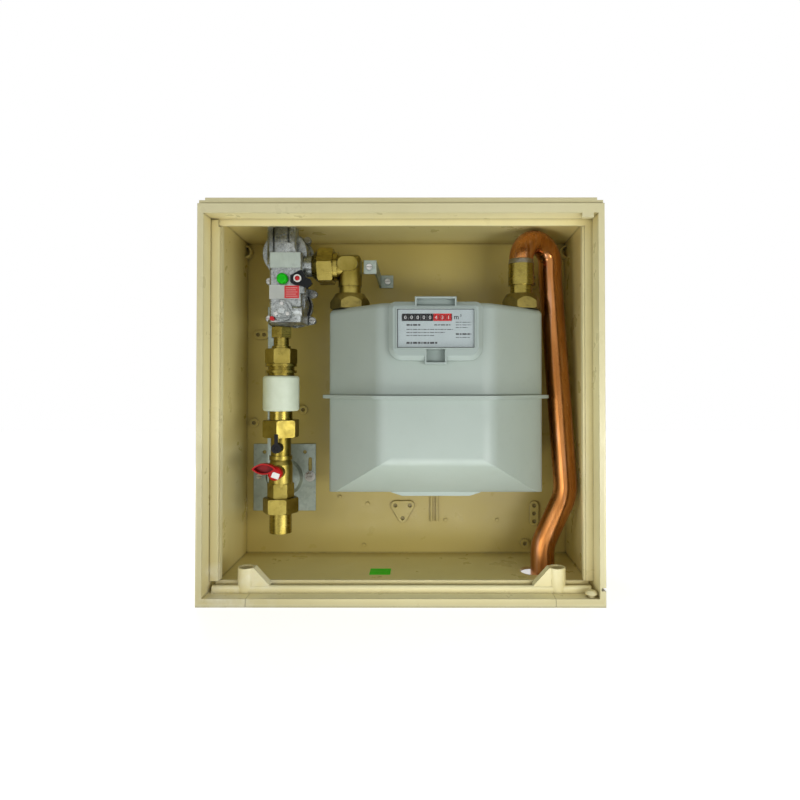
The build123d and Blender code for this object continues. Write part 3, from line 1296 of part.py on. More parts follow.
def trip_outline():
    """Outline of the plate round the trip button."""
    x1 = REG_X + REG_W / 2 + TRIP_PLATE_OUT
    x0 = x1 - TRIP_PLATE_W
    z1 = BUTTON_Z + TRIP_PLATE_H * 0.47
    z0 = z1 - TRIP_PLATE_H
    w = TRIP_PLATE_W
    h = TRIP_PLATE_H
    outline = Polygon((x0, z0 + 0.32 * h), (x0, z0 + 0.70 * h), (x0 + 0.35 * w, z0 + 0.92 * h),
                      (x0 + 0.52 * w, z1), (x0 + 0.72 * w, z0 + 0.55 * h), (x1 - 0.08 * w, z0 + 0.50 * h),
                      (x1, z0 + 0.24 * h), (x0 + 0.74 * w, z0), (x0 + 0.55 * w, z0 + 0.14 * h),
                      (x0 + 0.17 * w, z0 + 0.22 * h), align=None)
    return fillet(outline.vertices(), TRIP_CORNER_R)


def trip_plate():
    """Moulded plate round the trip button."""
    plate = slab(trip_outline(), REG_FRONT_Y - TRIP_PLATE_T, REG_FRONT_Y)
    plate -= rod_y(RESET_X, BUTTON_Z, REG_FRONT_Y - 2 * TRIP_PLATE_T, REG_FRONT_Y + FIT, RESET_R + 2 * RUN)
    return plate - rod_y(TRIP_X, BUTTON_Z, REG_FRONT_Y - 2 * TRIP_PLATE_T, REG_FRONT_Y + FIT, TRIP_R + RUN)


def button_bezel():
    """Ring round the trip button."""
    ring = tube(BEZEL_R, TRIP_R + RUN, 0, BEZEL_T)
    return Pos(TRIP_X, REG_FRONT_Y - TRIP_PLATE_T, BUTTON_Z) * Rot(90, 0, 0) * ring


def trip_button():
    """Trip button inside its ring."""
    return domed_button(TRIP_X, BUTTON_Z, TRIP_R, REG_FRONT_Y - TRIP_OUT, REG_FRONT_Y + TRIP_IN)


def reset_button():
    """Domed reset button."""
    return domed_button(RESET_X, BUTTON_Z, RESET_R, REG_FRONT_Y - RESET_OUT, REG_FRONT_Y + RESET_IN)


def front_plate(x, z, w, h):
    """Thin plate on the front face of the regulator."""
    return block(x - w / 2, x + w / 2, REG_FRONT_Y - PLATE_T, REG_FRONT_Y, z - h / 2, z + h / 2)


def regulator_nameplate():
    """Bare plate on the front of the regulator."""
    w, h = NAMEPLATE
    return front_plate(REG_X, OUTLET_Z + REG_TOP - h / 2 - PLATE_T, w, h)


def regulator_label():
    """Bare label under the buttons, cut round the slam-shut housing and the trip plate."""
    w, h = LABEL
    label = front_plate(REG_X - (REG_W - w) / 2 + PLATE_T, BUTTON_Z - RESET_R - h / 2 - BUTTON_WELL, w, h)
    label -= rod_y(SLAM_X, SLAM_Z, REG_FRONT_Y - SLAM_OUT, REG_FRONT_Y + FIT, SLAM_R + FIT)
    return label - slab(offset(trip_outline(), PLATE_T), REG_FRONT_Y - TRIP_PLATE_T, REG_FRONT_Y + FIT)


def sealing_plug():
    """Small plug beside the slam-shut cover."""
    x = REG_X - REG_W / 2 + REG_EDGE_R + PLUG_R / 2
    return rod_y(x, SLAM_Z - SLAM_R + PLUG_R, REG_FRONT_Y - PLUG_L, REG_FRONT_Y, PLUG_R)


def screw_y(x, z, y):
    """Cheese-head screw seen from the front, with its head on the face at depth y."""
    head = rod_y(x, z, y - SCREW_HEAD_H, y, SCREW_HEAD_R)
    slot = SCREW_SLOT_W / 2
    return head - block(x - SCREW_HEAD_R, x + SCREW_HEAD_R, y - 2 * SCREW_HEAD_H, y - SCREW_HEAD_H / 2,
                        z - slot, z + slot)


def regulator_screws():
    """Screws in the ears of the regulator and on its slam-shut cover."""
    heads = []
    for x, z in ear_places():
        y = REG_BACK_Y - JOINT_T
        shank = rod_y(x, z, y, REG_BACK_Y + JOINT_T, EAR_HOLE_R - FIT)
        heads.append(screw_y(x, z, y) + shank)
    y = REG_FRONT_Y - SLAM_OUT - SLAM_COVER_T
    for x, z in slam_lobes():
        heads.append(rod_y(x, z, y - SLAM_SCREW_H, y, SLAM_SCREW_R))
    return Compound(heads)


def outlet_nut():
    """Union nut on the regulator's outlet, along X: a cone, a hexagon and a plain ring."""
    lip = OUT_NUT_L - NUT_LIP
    ring = OUT_NUT_CONE_L + OUT_NUT_HEX_L
    bore = OUTLET_R + FIT
    nut = turned((bore, 0), (OUT_NUT_CONE_R, 0), (OUT_NUT_AF / 2, OUT_NUT_CONE_L), (OUT_NUT_AF / 2, ring),
                 (OUT_NUT_RING_R, ring), (OUT_NUT_RING_R, OUT_NUT_L), (bore, OUT_NUT_L))
    nut += hexagon(OUT_NUT_AF, OUT_NUT_CONE_L, ring, turn=OUT_NUT_TURN)
    nut -= tube(bore, 0, -FIT, OUTLET_SPIGOT_L + FIT)
    nut -= tube(ELBOW_COLLAR_R + FIT, 0, OUTLET_SPIGOT_L, lip + FIT)
    nut -= tube(ELBOW_R + FIT, 0, lip, OUT_NUT_L + FIT)
    return Pos(outlet_nut_x(), PORT_Y, OUTLET_Z) * Rot(0, 90, 0) * nut


def outlet_nut_x():
    """Left end of the outlet nut."""
    return REG_X + OUTLET_L


def elbow_corner():
    """Squarish outer corner of the elbow, where its two legs run into each other."""
    r = ELBOW_R
    legs = rod_x(PORT_Y, OUTLET_Z, INLET_PORT_X - r, INLET_PORT_X + r, r)
    legs &= rod_z(INLET_PORT_X, PORT_Y, OUTLET_Z - r, OUTLET_Z + r, r)
    outline = Pos(INLET_PORT_X, OUTLET_Z) * RectangleRounded(2 * r, 2 * r, ELBOW_CORNER_R)
    return legs & slab(outline, PORT_Y - r, PORT_Y + r)


def outlet_elbow():
    """Cast elbow from the regulator's outlet down to the meter's inlet, with a raised panel and a lug."""
    x = INLET_PORT_X
    left = outlet_nut_x() + OUTLET_SPIGOT_L
    collar = outlet_nut_x() + OUT_NUT_L - NUT_LIP
    turned_z = OUTLET_Z - ELBOW_LEG
    elbow = rod_x(PORT_Y, OUTLET_Z, left, x, ELBOW_R) + rod_x(PORT_Y, OUTLET_Z, left, collar, ELBOW_COLLAR_R)
    elbow += rod_z(x, PORT_Y, turned_z, OUTLET_Z, ELBOW_R) + elbow_corner()
    elbow += rod_z(x, PORT_Y, METER_SEAT_Z, turned_z, ELBOW_TURNED_R)
    elbow += rod_z(x, PORT_Y, METER_SEAT_Z, METER_SEAT_Z + COLLAR_H, COLLAR_R)
    face = PORT_Y - ELBOW_R - PANEL_RISE
    raised = Pos(x - PANEL_SHIFT, OUTLET_Z + PANEL_UP) * SlotOverall(PANEL_L, PANEL_W)
    elbow += slab(raised, face, PORT_Y)
    lug_y = PORT_Y + LUG_FRONT
    lug = make_hull([(Pos(x + LUG_X, OUTLET_Z) * Circle(LUG_R)).edge(),
                     (Pos(x, OUTLET_Z) * Circle(LUG_R)).edge()])
    elbow += slab(lug, lug_y, lug_y + LUG_T)
    elbow -= rod_y(x + LUG_X, OUTLET_Z, lug_y - FIT, lug_y + LUG_T + FIT, EAR_HOLE_R)
    elbow -= rod_x(PORT_Y, OUTLET_Z, left - FIT, x, ELBOW_BORE_R)
    elbow -= rod_z(x, PORT_Y, METER_SEAT_Z - FIT, OUTLET_Z, ELBOW_BORE_R)
    return elbow - Pos(x, PORT_Y, OUTLET_Z) * Sphere(ELBOW_BORE_R)


def elbow_bracket():
    """Folded strap from the elbow's lug back to the wall."""
    x = INLET_PORT_X + LUG_X
    web = x + LUG_R
    lug_y = PORT_Y + LUG_FRONT
    half = STRAP_W / 2
    z = OUTLET_Z
    tab = block(x - LUG_R, web + STRAP_T, lug_y - STRAP_T, lug_y, z - half, z + half)
    side = Polygon((lug_y - STRAP_T, z - half), (lug_y - STRAP_T, z + half), (BACK_Y, z + half - FOOT_DROP),
                   (BACK_Y, z - half - FOOT_DROP), align=None)
    strap = tab + extrude(Plane.YZ.offset(web) * side, STRAP_T, dir=(1, 0, 0))
    strap += block(web, web + FOOT_L, BACK_Y - STRAP_T, BACK_Y, z - half - FOOT_DROP, z + half - FOOT_DROP)
    return strap - rod_y(x, z, lug_y - 2 * STRAP_T, lug_y + FIT, EAR_HOLE_R)


def bracket_screws():
    """Screws of the elbow bracket, at the lug and at the wall."""
    x = INLET_PORT_X + LUG_X
    lug_y = PORT_Y + LUG_FRONT
    upper = screw_y(x, OUTLET_Z, lug_y - STRAP_T)
    upper += rod_y(x, OUTLET_Z, lug_y - STRAP_T, lug_y + LUG_T, EAR_HOLE_R - FIT)
    foot = screw_y(x + LUG_R + FOOT_SCREW, OUTLET_Z - FOOT_DROP, BACK_Y - STRAP_T)
    return Compound([upper, foot])


def plate_left():
    """Left edge of the mounting plate."""
    return -inner_half(BACK_Y) + PLATE_WALL_GAP


def mounting_plate():
    """Galvanised plate on the back wall, with an embossed disc, two holes and a slot."""
    x0 = plate_left()
    y0 = BACK_Y - PLATE_THK
    plate = block(x0, x0 + PLATE_W, y0, BACK_Y, PLATE_Z, PLATE_Z + PLATE_H)
    disc = turned((0, 0), (EMBOSS_R, 0), (EMBOSS_R - EMBOSS_H, EMBOSS_H), (0, EMBOSS_H))
    x = x0 + PLATE_W / 2
    z = PLATE_Z + PLATE_H / 2
    plate += Pos(x, y0, z) * Rot(90, 0, 0) * disc
    for side in (-1, 1):
        hole_x = x + side * PLATE_HOLE_X
        plate -= rod_y(hole_x, z + PLATE_HOLE_UP, y0 - 2 * EMBOSS_H, BACK_Y + FIT, PLATE_HOLE_R)
    slot_x = x0 + PLATE_W - PLATE_SCREW_X
    slot_z = PLATE_Z + PLATE_SCREW_Z + WASHER_R + PLATE_SLOT_L / 2
    slot = Pos(slot_x, slot_z) * Rot(0, 0, 90) * SlotOverall(PLATE_SLOT_L, PLATE_SLOT_W)
    return plate - slab(slot, y0 - 2 * EMBOSS_H, BACK_Y + FIT)


def support_strip():
    """Folded strip that carries the regulator from the mounting plate."""
    x0 = plate_left() + SUPPORT_X
    x1 = x0 + SUPPORT_W
    face = REG_BACK_Y + JOINT_T
    foot_y = BACK_Y - PLATE_THK - EMBOSS_H
    bend = PLATE_Z + SUPPORT_BEND
    top = REG_Z + SUPPORT_UP
    strip = block(x0, x1, face, face + SUPPORT_T, bend, top)
    strip += block(x0, x1, face, foot_y, bend, bend + SUPPORT_T)
    strip += block(x0, x1, foot_y - SUPPORT_T, foot_y, bend - SUPPORT_FOOT, bend + SUPPORT_T)
    for step in (0, 1, 2):
        z = top - SUPPORT_HOLE_DROP - SUPPORT_HOLE_PITCH * step
        strip -= rod_y((x0 + x1) / 2, z, face - FIT, face + SUPPORT_T + FIT, SUPPORT_HOLE_R)
    return strip


def plate_screws():
    """Screws that hold the mounting plate, one of them with a washer."""
    y = BACK_Y - PLATE_THK
    z = PLATE_Z + PLATE_SCREW_Z
    right = plate_left() + PLATE_W - PLATE_SCREW_X
    washer = rod_y(right, z, y - WASHER_T, y, WASHER_R) + screw_y(right, z, y - WASHER_T)
    return Compound([washer, screw_y(plate_left() + PLATE_SCREW_X, z, y)])


NODES = {
    "box_shell": box_shell,
    "left_strip": left_strip,
    "hinge_rail": hinge_rail,
    "rail_pin": rail_pin,
    "meter_upper_case": meter_upper_case,
    "meter_lower_case": meter_lower_case,
    "index_housing": index_housing,
    "index_plate": index_plate,
    "index_window": index_window,
    "drum_shaft": drum_shaft,
    "meter_inlet_nut": lambda: at_port(INLET_PORT_X, union_nut(ELBOW_TURNED_R)),
    "meter_outlet_nut": lambda: at_port(OUTLET_PORT_X, union_nut(PORT_R)),
    "outlet_tailpiece": outlet_tailpiece,
    "solder_ring": solder_ring,
    "copper_pipe": copper_pipe,
    "service_tail": service_tail,
    "service_union_nut": service_union_nut,
    "valve_body": valve_body,
    "valve_seats": valve_seats,
    "valve_ball": valve_ball,
    "valve_stem": valve_stem,
    "valve_handle": valve_handle,
    "handle_tag": handle_tag,
    "test_nipple": test_nipple,
    "test_cap": test_cap,
    "valve_union_nut": valve_union_nut,
    "lower_tail": lower_tail,
    "insulating_sleeve": insulating_sleeve,
    "upper_tail": upper_tail,
    "isolator_union_nut": isolator_union_nut,
    "inlet_nipple": inlet_nipple,
    "regulator_inlet_nut": regulator_inlet_nut,
    "regulator_body": regulator_body,
    "diaphragm_cover": diaphragm_cover,
    "slam_shut_cover": slam_shut_cover,
    "lower_seal": lower_seal,
    "reset_button": reset_button,
    "trip_plate": trip_plate,
    "button_bezel": button_bezel,
    "trip_button": trip_button,
    "regulator_nameplate": regulator_nameplate,
    "regulator_label": regulator_label,
    "sealing_plug": sealing_plug,
    "regulator_screws": regulator_screws,
    "regulator_outlet_nut": outlet_nut,
    "outlet_elbow": outlet_elbow,
    "elbow_bracket": elbow_bracket,
    "bracket_screws": bracket_screws,
    "mounting_plate": mounting_plate,
    "support_strip": support_strip,
    "plate_screws": plate_screws,
}
for number in range(DRUM_COUNT):
    NODES[f"number_drum_{number + 1}"] = lambda i=number: number_drum(i)

os.makedirs("parts", exist_ok=True)
for name, make in NODES.items():
    export_step(make(), f"parts/{name}.step")
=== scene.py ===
import json
import math

import bmesh
import bpy
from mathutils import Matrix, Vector


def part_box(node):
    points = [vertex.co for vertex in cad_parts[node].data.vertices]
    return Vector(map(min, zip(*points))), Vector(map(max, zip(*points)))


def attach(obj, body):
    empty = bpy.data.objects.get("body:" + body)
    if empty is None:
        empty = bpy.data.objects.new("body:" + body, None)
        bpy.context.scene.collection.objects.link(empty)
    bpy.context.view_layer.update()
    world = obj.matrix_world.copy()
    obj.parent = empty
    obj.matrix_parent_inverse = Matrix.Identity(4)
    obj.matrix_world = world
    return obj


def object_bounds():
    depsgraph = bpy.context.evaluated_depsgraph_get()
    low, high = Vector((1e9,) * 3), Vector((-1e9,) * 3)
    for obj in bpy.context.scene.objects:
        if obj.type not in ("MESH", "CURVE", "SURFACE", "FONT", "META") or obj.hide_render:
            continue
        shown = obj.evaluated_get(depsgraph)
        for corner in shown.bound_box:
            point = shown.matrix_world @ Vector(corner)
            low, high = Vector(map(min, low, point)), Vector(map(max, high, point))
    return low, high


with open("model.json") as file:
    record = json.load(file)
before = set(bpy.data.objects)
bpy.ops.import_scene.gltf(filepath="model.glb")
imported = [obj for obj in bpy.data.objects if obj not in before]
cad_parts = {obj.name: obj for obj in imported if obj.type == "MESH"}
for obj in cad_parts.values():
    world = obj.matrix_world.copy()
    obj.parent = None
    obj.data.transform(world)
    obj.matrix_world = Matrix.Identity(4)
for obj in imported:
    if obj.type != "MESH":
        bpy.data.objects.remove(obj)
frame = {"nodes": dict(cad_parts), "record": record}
cad_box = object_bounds()

# Looks of an open gas meter cabinet: finishes for every node, printed marks, studio and camera.
# Everything is in metres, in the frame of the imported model, and colours are linear.

MM = 0.001
NODES = frame["nodes"]
SLOTS = {part["node"]: part["material_slot"] for part in frame["record"]["subparts"]}
LEFT, FRONT, BOTTOM = cad_box[0]
RIGHT, BACK, TOP = cad_box[1]

# Camera and studio
CAMERA_PLACE = (0.0358, -0.9106, 0.2860)
CAMERA_TURN = (90.95, 0.0, 0.104)          # degrees
CAMERA_LENS = 28.08
CAMERA_SENSOR = 36.0
CAMERA_SHIFT = (-0.034, -0.031)
CAMERA_NEAR = 0.01
WHITE = (1.0, 1.0, 1.0, 1.0)
AMBIENT = 0.40
STUDIO_SIZE = 6.0
STUDIO_GLOW = 0.64
STUDIO_PALE = (0.82, 0.82, 0.82)
STUDIO_DIM = (0.80, 0.80, 0.80)
LAMPS = (                                  # name, place, what it looks at, width and height, watts
    ("key", (0.58, -0.86, 0.11), (-0.05, 0.0, 0.33), (0.50, 0.16), 3.5),
    ("fill", (-0.68, -0.90, 0.11), (0.05, 0.0, 0.33), (0.50, 0.16), 1.8),
    ("bounce", (0.03, -0.24, 0.003), (0.03, -0.23, 1.0), (0.34, 0.17), 0.76),
    ("rear", (-0.60, 1.20, 0.80), (0.0, 0.0, 0.25), (0.80, 0.60), 5.0),
)

# Shader nodes
MIX_AMOUNT, MIX_FIRST, MIX_SECOND, MIX_RESULT = 0, 6, 7, 2    # the mix node's sockets for colours
CREVICE_SAMPLES = 8
EDGE_SAMPLES = 4
COAT_ROUGHNESS = 0.12

# Cabinet moulding
IVORY = (0.73, 0.68, 0.41)
# painted light: the recesses just behind the rim, lighter than the outside
IVORY_RECESS_PAINTED_LIGHT = (0.84, 0.78, 0.465)
IVORY_INNER = (0.86, 0.77, 0.36)
# painted shade: the back wall, darker than the rest of the inside
IVORY_BACK_PAINTED_SHADE = (0.58, 0.48, 0.155)
# painted shade: warm darkening in the inside corners and around the parts
IVORY_CORNER_SHADE = (0.60, 0.445, 0.10)
# painted shade on the lower inside walls
IVORY_LOWER_SHADE = (0.79, 0.78, 0.76)
IVORY_CLOUD = (0.86, 0.84, 0.74)
IVORY_DIRT = (0.34, 0.28, 0.13)
# grime and painted shade in tight corners and holes
IVORY_GRIME_AND_SHADE = (0.15, 0.115, 0.04)
IVORY_SCUFF = (0.86, 0.85, 0.72)
SKIN = 2.0 * MM                            # skin of the sides and the back that keeps the outside tone
SKIN_BOTTOM = 4.0 * MM
SKIN_TOP = 5.0 * MM
SKIN_EDGE = 0.5 * MM
INSIDE = {                                 # reach along each axis and its soft edge
    "X": (LEFT + SKIN, RIGHT - SKIN, SKIN_EDGE),
    "Y": (FRONT - SKIN, BACK - SKIN, SKIN_EDGE),
    "Z": (BOTTOM + SKIN_BOTTOM, TOP - SKIN_TOP, SKIN_EDGE),
}
LOWER_SHADE_BAND = (0.05, 0.20, 0.05)                 # heights between which the walls are painted darker as shade, and the soft edge
LOWER_SHADE_AMOUNT = 0.8
SCUFFED = {                                # lower left corner of the front
    "X": (-0.27, -0.17, 0.012),
    "Y": (-0.11, -0.05, 0.004),
    "Z": (-0.01, 0.045, 0.006),
}

# Paint and metals
METER_GREY = (0.37, 0.432, 0.39)
METER_GREY_DEEP = (0.34, 0.402, 0.36)
INDEX_GREY = (0.345, 0.41, 0.38)
INDEX_GREY_DEEP = (0.32, 0.385, 0.355)
PAINT_DIRT = (0.20, 0.21, 0.17)
# painted shade in the paint's creases and seams
PAINT_SEAM_SHADE = (0.10, 0.11, 0.09)
BRASS = (0.345, 0.278, 0.070)
BRASS_DEEP = (0.185, 0.140, 0.022)
BRASS_TARNISH = (0.10, 0.07, 0.013)
COPPER = (0.57, 0.245, 0.080)
COPPER_DEEP = (0.33, 0.125, 0.03)
COPPER_PINK = (0.60, 0.34, 0.22)
COPPER_OXIDE = (0.10, 0.04, 0.012)
CAST_GREY = (0.46, 0.49, 0.48)
CAST_DEEP = (0.16, 0.175, 0.165)
CAST_GRIME = (0.10, 0.105, 0.10)
CAST_SPECKLE = (0.09, 0.10, 0.095)
CAST_SHADOW = (0.045, 0.05, 0.045)
ZINC = (0.38, 0.44, 0.395)
ZINC_DEEP = (0.31, 0.365, 0.325)
ZINC_STAIN = (0.20, 0.21, 0.19)
ZINC_SHADOW = (0.05, 0.055, 0.05)
HAZE = (0.42, 0.44, 0.44)
HAZE_DEEP = (0.30, 0.32, 0.32)
HOLLOW_SHADE_REACH = 12.0 * MM                   # how far from the walls of a cavity it is still painted darker, as shade

# Printed marks
PRINT_LIFT = 0.06 * MM                     # marks stand this far off the surface that carries them
READING = (0, 0, 0, 0, 0, 4, 3, 1)
RED_FROM = 6                               # the first red drum
DIGITS = 10
DIGIT_SHARE = 0.80                         # height of a digit, of its step round the drum
GLYPH_BANDS = 10                           # bands that a sign is cut into, so that it can follow a drum
GLYPH_ROUNDNESS = 3                        # steps along each curved stretch of a sign
COUNTER_HALF = 4.6 * MM                    # half height of the counter's slot in the dial
COUNTER_EDGE = 1.45 * MM
COUNTER_LAP = 0.3 * MM                     # how far the printed edge reaches past the slot
DIAL_UNIT = (                              # sign, height, share of the dial's width, way from its top
    ("m", 4.4 * MM, 0.768, 11.4 * MM),
    ("3", 3.2 * MM, 0.826, 8.6 * MM),
)
UNIT_WEIGHT = 0.018                        # how far the strokes of the unit are thickened, of the letter size
DIAL_EDGE_SHADE = 0.8 * MM                       # painted shade: dark line along the dial's left, upper and lower edge, where the housing's frame shades it
DIAL_RULES = (                             # start and end (shares of the width), way down and thickness (mm)
    (0.12, 0.30, 21.0, 2.2), (0.48, 0.70, 21.0, 1.4),
    (0.12, 0.72, 27.0, 0.9), (0.12, 0.62, 31.0, 0.9), (0.12, 0.48, 35.0, 0.9), (0.12, 0.52, 44.5, 2.6),
    (0.76, 0.96, 17.5, 0.8), (0.76, 0.96, 21.0, 0.8), (0.76, 0.92, 24.5, 0.8),
    (0.76, 0.96, 33.0, 2.0), (0.76, 0.94, 37.5, 0.8),
)
DASHES = (4.2, 2.4, 5.6, 3.2, 1.8)         # lengths of the dashes that a rule is broken into, mm
DASH_GAP = 1.0 * MM
LABEL_FIELD_X = (0.50, 0.985)              # red field, as shares of the label's width and height
LABEL_FIELD_Z = (0.05, 0.95)
LABEL_RULES = 5
LABEL_RULE_X = (0.55, 0.93)
LABEL_RULE_SHORT = 0.05                    # every other rule is shorter by this share
LABEL_RULE_Z = (0.18, 0.15)                # first rule and step upwards, as shares of the height
LABEL_RULE_THICK = 0.5 * MM
STICKER_PLACE = (-0.0346, 0.0079)
STICKER_SIZE = (0.0305, 0.0272)
FLOOR_PROBE = 0.05                         # height from which the cabinet's floor is looked for


class Finish:
    """One procedural material: its shader and short forms for the nodes that feed it."""

    def __init__(self, name, **sockets):
        self.material = bpy.data.materials.new(name)
        self.material.use_nodes = True
        self.tree = self.material.node_tree
        self.shader = self.tree.nodes["Principled BSDF"]
        for socket, value in sockets.items():
            self.shader.inputs[socket.replace("_", " ")].default_value = value
        self.place = self.add("ShaderNodeTexCoord").outputs["Object"]
        self.normal = None

    def add(self, kind, links=None, **settings):
        """A new node with its settings and inputs."""
        node = self.tree.nodes.new(kind)
        for key, value in settings.items():
            setattr(node, key, value)
        for socket, value in (links or {}).items():
            self.feed(node.inputs[socket], value)
        return node

    def feed(self, socket, value):
        """Links an output to a socket, or sets the socket's own value."""
        if isinstance(value, bpy.types.NodeSocket):
            self.tree.links.new(value, socket)
        else:
            socket.default_value = value

    def paint(self, socket, colour):
        """Links an output to a colour socket, or sets an opaque colour."""
        self.feed(socket, colour if isinstance(colour, bpy.types.NodeSocket) else (*colour, 1.0))

    def noise(self, scale, detail=3.0, roughness=0.55, stretch=(1, 1, 1)):
        """Noise in the part's own frame; scale counts features per metre."""
        place = self.add("ShaderNodeMapping", {"Vector": self.place, "Scale": stretch}).outputs["Vector"]
        links = {"Vector": place, "Scale": scale, "Detail": detail, "Roughness": roughness}
        return self.add("ShaderNodeTexNoise", links).outputs["Fac"]

    def cells(self, scale):
        """Random value for each cell of a Voronoi pattern."""
        node = self.add("ShaderNodeTexVoronoi", {"Vector": self.place, "Scale": scale})
        return self.add("ShaderNodeSeparateColor", {"Color": node.outputs["Color"]}).outputs["Red"]

    def ramp(self, value, *stops):
        """Colour ramp through (position, colour) stops."""
        node = self.add("ShaderNodeValToRGB", {"Fac": value})
        elements = node.color_ramp.elements
        for position, _ in stops[1:-1]:
            elements.new(position)
        for element, (position, colour) in zip(elements, stops):
            element.position = position
            element.color = (*colour, 1.0)
        return node.outputs["Color"]

    def level(self, value, low, high, start=0.35, end=0.65):
        """Value between start and end, mapped to a number between low and high."""
        node = self.add("ShaderNodeMapRange", {"Value": value, "From Min": start, "From Max": end,
                                               "To Min": low, "To Max": high})
        return node.outputs["Result"]

    def blend(self, amount, first, second, mode="MIX"):
        """Mix of two colours."""
        node = self.add("ShaderNodeMix", data_type="RGBA", blend_type=mode)
        self.feed(node.inputs[MIX_AMOUNT], amount)
        self.paint(node.inputs[MIX_FIRST], first)
        self.paint(node.inputs[MIX_SECOND], second)
        return node.outputs[MIX_RESULT]

    def along(self, axis):
        """Place along X, Y or Z, in metres."""
        return self.add("ShaderNodeSeparateXYZ", {"Vector": self.place}).outputs[axis]

    def within(self, axis, low, high, soft):
        """One inside a range of X, Y or Z and nought outside it, with a soft edge."""
        part = self.along(axis)
        rise = self.level(part, 0.0, 1.0, low - soft, low + soft)
        fall = self.level(part, 1.0, 0.0, high - soft, high + soft)
        return self.product(rise, fall)

    def region(self, ranges):
        """One inside a box of ranges by axis and nought outside it."""
        amount = 1.0
        for axis, limits in ranges.items():
            amount = self.product(amount, self.within(axis, *limits))
        return amount

    def crevice(self, reach, amount):
        """Occlusion mask for painted shade: nought on open faces, rising to the amount in corners and holes.
        """
        node = self.add("ShaderNodeAmbientOcclusion", {"Distance": reach}, samples=CREVICE_SAMPLES)
        return self.level(node.outputs["AO"], amount, 0.0, start=0.25, end=0.80)

    def product(self, first, second):
        """Product of two values."""
        return self.add("ShaderNodeMath", {0: first, 1: second}, operation="MULTIPLY").outputs[0]

    def colour(self, value):
        """Sets what the surface is coloured by."""
        self.paint(self.shader.inputs["Base Color"], value)

    def rough(self, value):
        """Sets what the surface's roughness comes from."""
        self.feed(self.shader.inputs["Roughness"], value)

    def soften(self, radius):
        """Rounds hard edges in the shading."""
        node = self.add("ShaderNodeBevel", {"Radius": radius}, samples=EDGE_SAMPLES)
        self.normal = node.outputs["Normal"]
        self.feed(self.shader.inputs["Normal"], self.normal)

    def bump(self, height, distance, strength=1.0):
        """Adds relief on top of what the surface has already."""
        node = self.add("ShaderNodeBump", {"Height": height, "Distance": distance, "Strength": strength})
        if self.normal:
            self.feed(node.inputs["Normal"], self.normal)
        self.normal = node.outputs["Normal"]
        self.feed(self.shader.inputs["Normal"], self.normal)


def ivory_moulding():
    """Slightly yellowed moulding, deeper yellow inside, with a fine grain, faint dirt and pale scuffs;
    inside, painted light brightens the front recesses and painted shade darkens the back, the lower walls,
    and the corners and holes.
    """
    finish = Finish("ivory_moulding", IOR=1.46)
    # Painted light and shade by depth: lighter in the recesses behind the rim, darker at the back wall.
    depth = finish.level(finish.along("Y"), 0.0, 1.0, start=FRONT, end=BACK)
    inner = finish.ramp(depth, (0.0, IVORY), (0.03, IVORY_RECESS_PAINTED_LIGHT), (0.25, IVORY_RECESS_PAINTED_LIGHT), (0.42, IVORY_INNER),
                   (0.85, IVORY_INNER), (0.96, IVORY_BACK_PAINTED_SHADE))
    # Painted shade: the inside walls are darker between the heights of the band.
    lower_shade = finish.product(finish.within("Z", *LOWER_SHADE_BAND), LOWER_SHADE_AMOUNT)
    inner = finish.blend(lower_shade, inner, IVORY_LOWER_SHADE, "MULTIPLY")
    # Painted shade in the inside's corners and around the parts, over a wide reach.
    inner = finish.blend(finish.crevice(90.0 * MM, amount=0.40), inner, IVORY_CORNER_SHADE)
    tone = finish.blend(finish.region(INSIDE), IVORY, inner)
    clouds = finish.level(finish.noise(5.0), 0.0, 0.5, start=0.7, end=0.3)
    tone = finish.blend(clouds, tone, IVORY_CLOUD, "MULTIPLY")
    dirt = finish.level(finish.noise(46.0, detail=6.0, roughness=0.7), 0.0, 0.08, start=0.50, end=0.80)
    tone = finish.blend(dirt, tone, IVORY_DIRT)
    # Grime and painted shade in tight corners and holes.
    tone = finish.blend(finish.crevice(6.0 * MM, amount=0.75), tone, IVORY_GRIME_AND_SHADE)
    worn = finish.level(finish.noise(26.0, detail=5.0, roughness=0.65), 0.0, 0.55, start=0.42, end=0.68)
    finish.colour(finish.blend(finish.product(finish.region(SCUFFED), worn), tone, IVORY_SCUFF))
    finish.rough(finish.level(finish.noise(30.0, detail=4.0), 0.27, 0.42))
    finish.soften(0.9 * MM)
    finish.bump(finish.noise(700.0, detail=2.0), 0.05 * MM, strength=0.5)
    finish.bump(finish.noise(9.0, detail=2.0), 0.6 * MM, strength=0.35)
    return finish.material


def meter_paint(name, light, deep, radius):
    """Grey satin paint over pressed steel, with a faint orange peel and painted shade in its creases and
    seams.
    """
    finish = Finish(name, IOR=1.45)
    tone = finish.ramp(finish.noise(8.0), (0.3, deep), (0.7, light))
    dirt = finish.level(finish.noise(60.0, detail=6.0, roughness=0.7), 0.0, 0.12, start=0.55, end=0.8)
    tone = finish.blend(dirt, tone, PAINT_DIRT)
    # Painted shade in creases and seams.
    finish.colour(finish.blend(finish.crevice(3.0 * MM, amount=0.5), tone, PAINT_SEAM_SHADE))
    finish.rough(finish.level(finish.noise(40.0), 0.36, 0.48))
    finish.soften(radius)
    finish.bump(finish.noise(420.0, detail=2.0), 0.05 * MM, strength=0.45)
    return finish.material


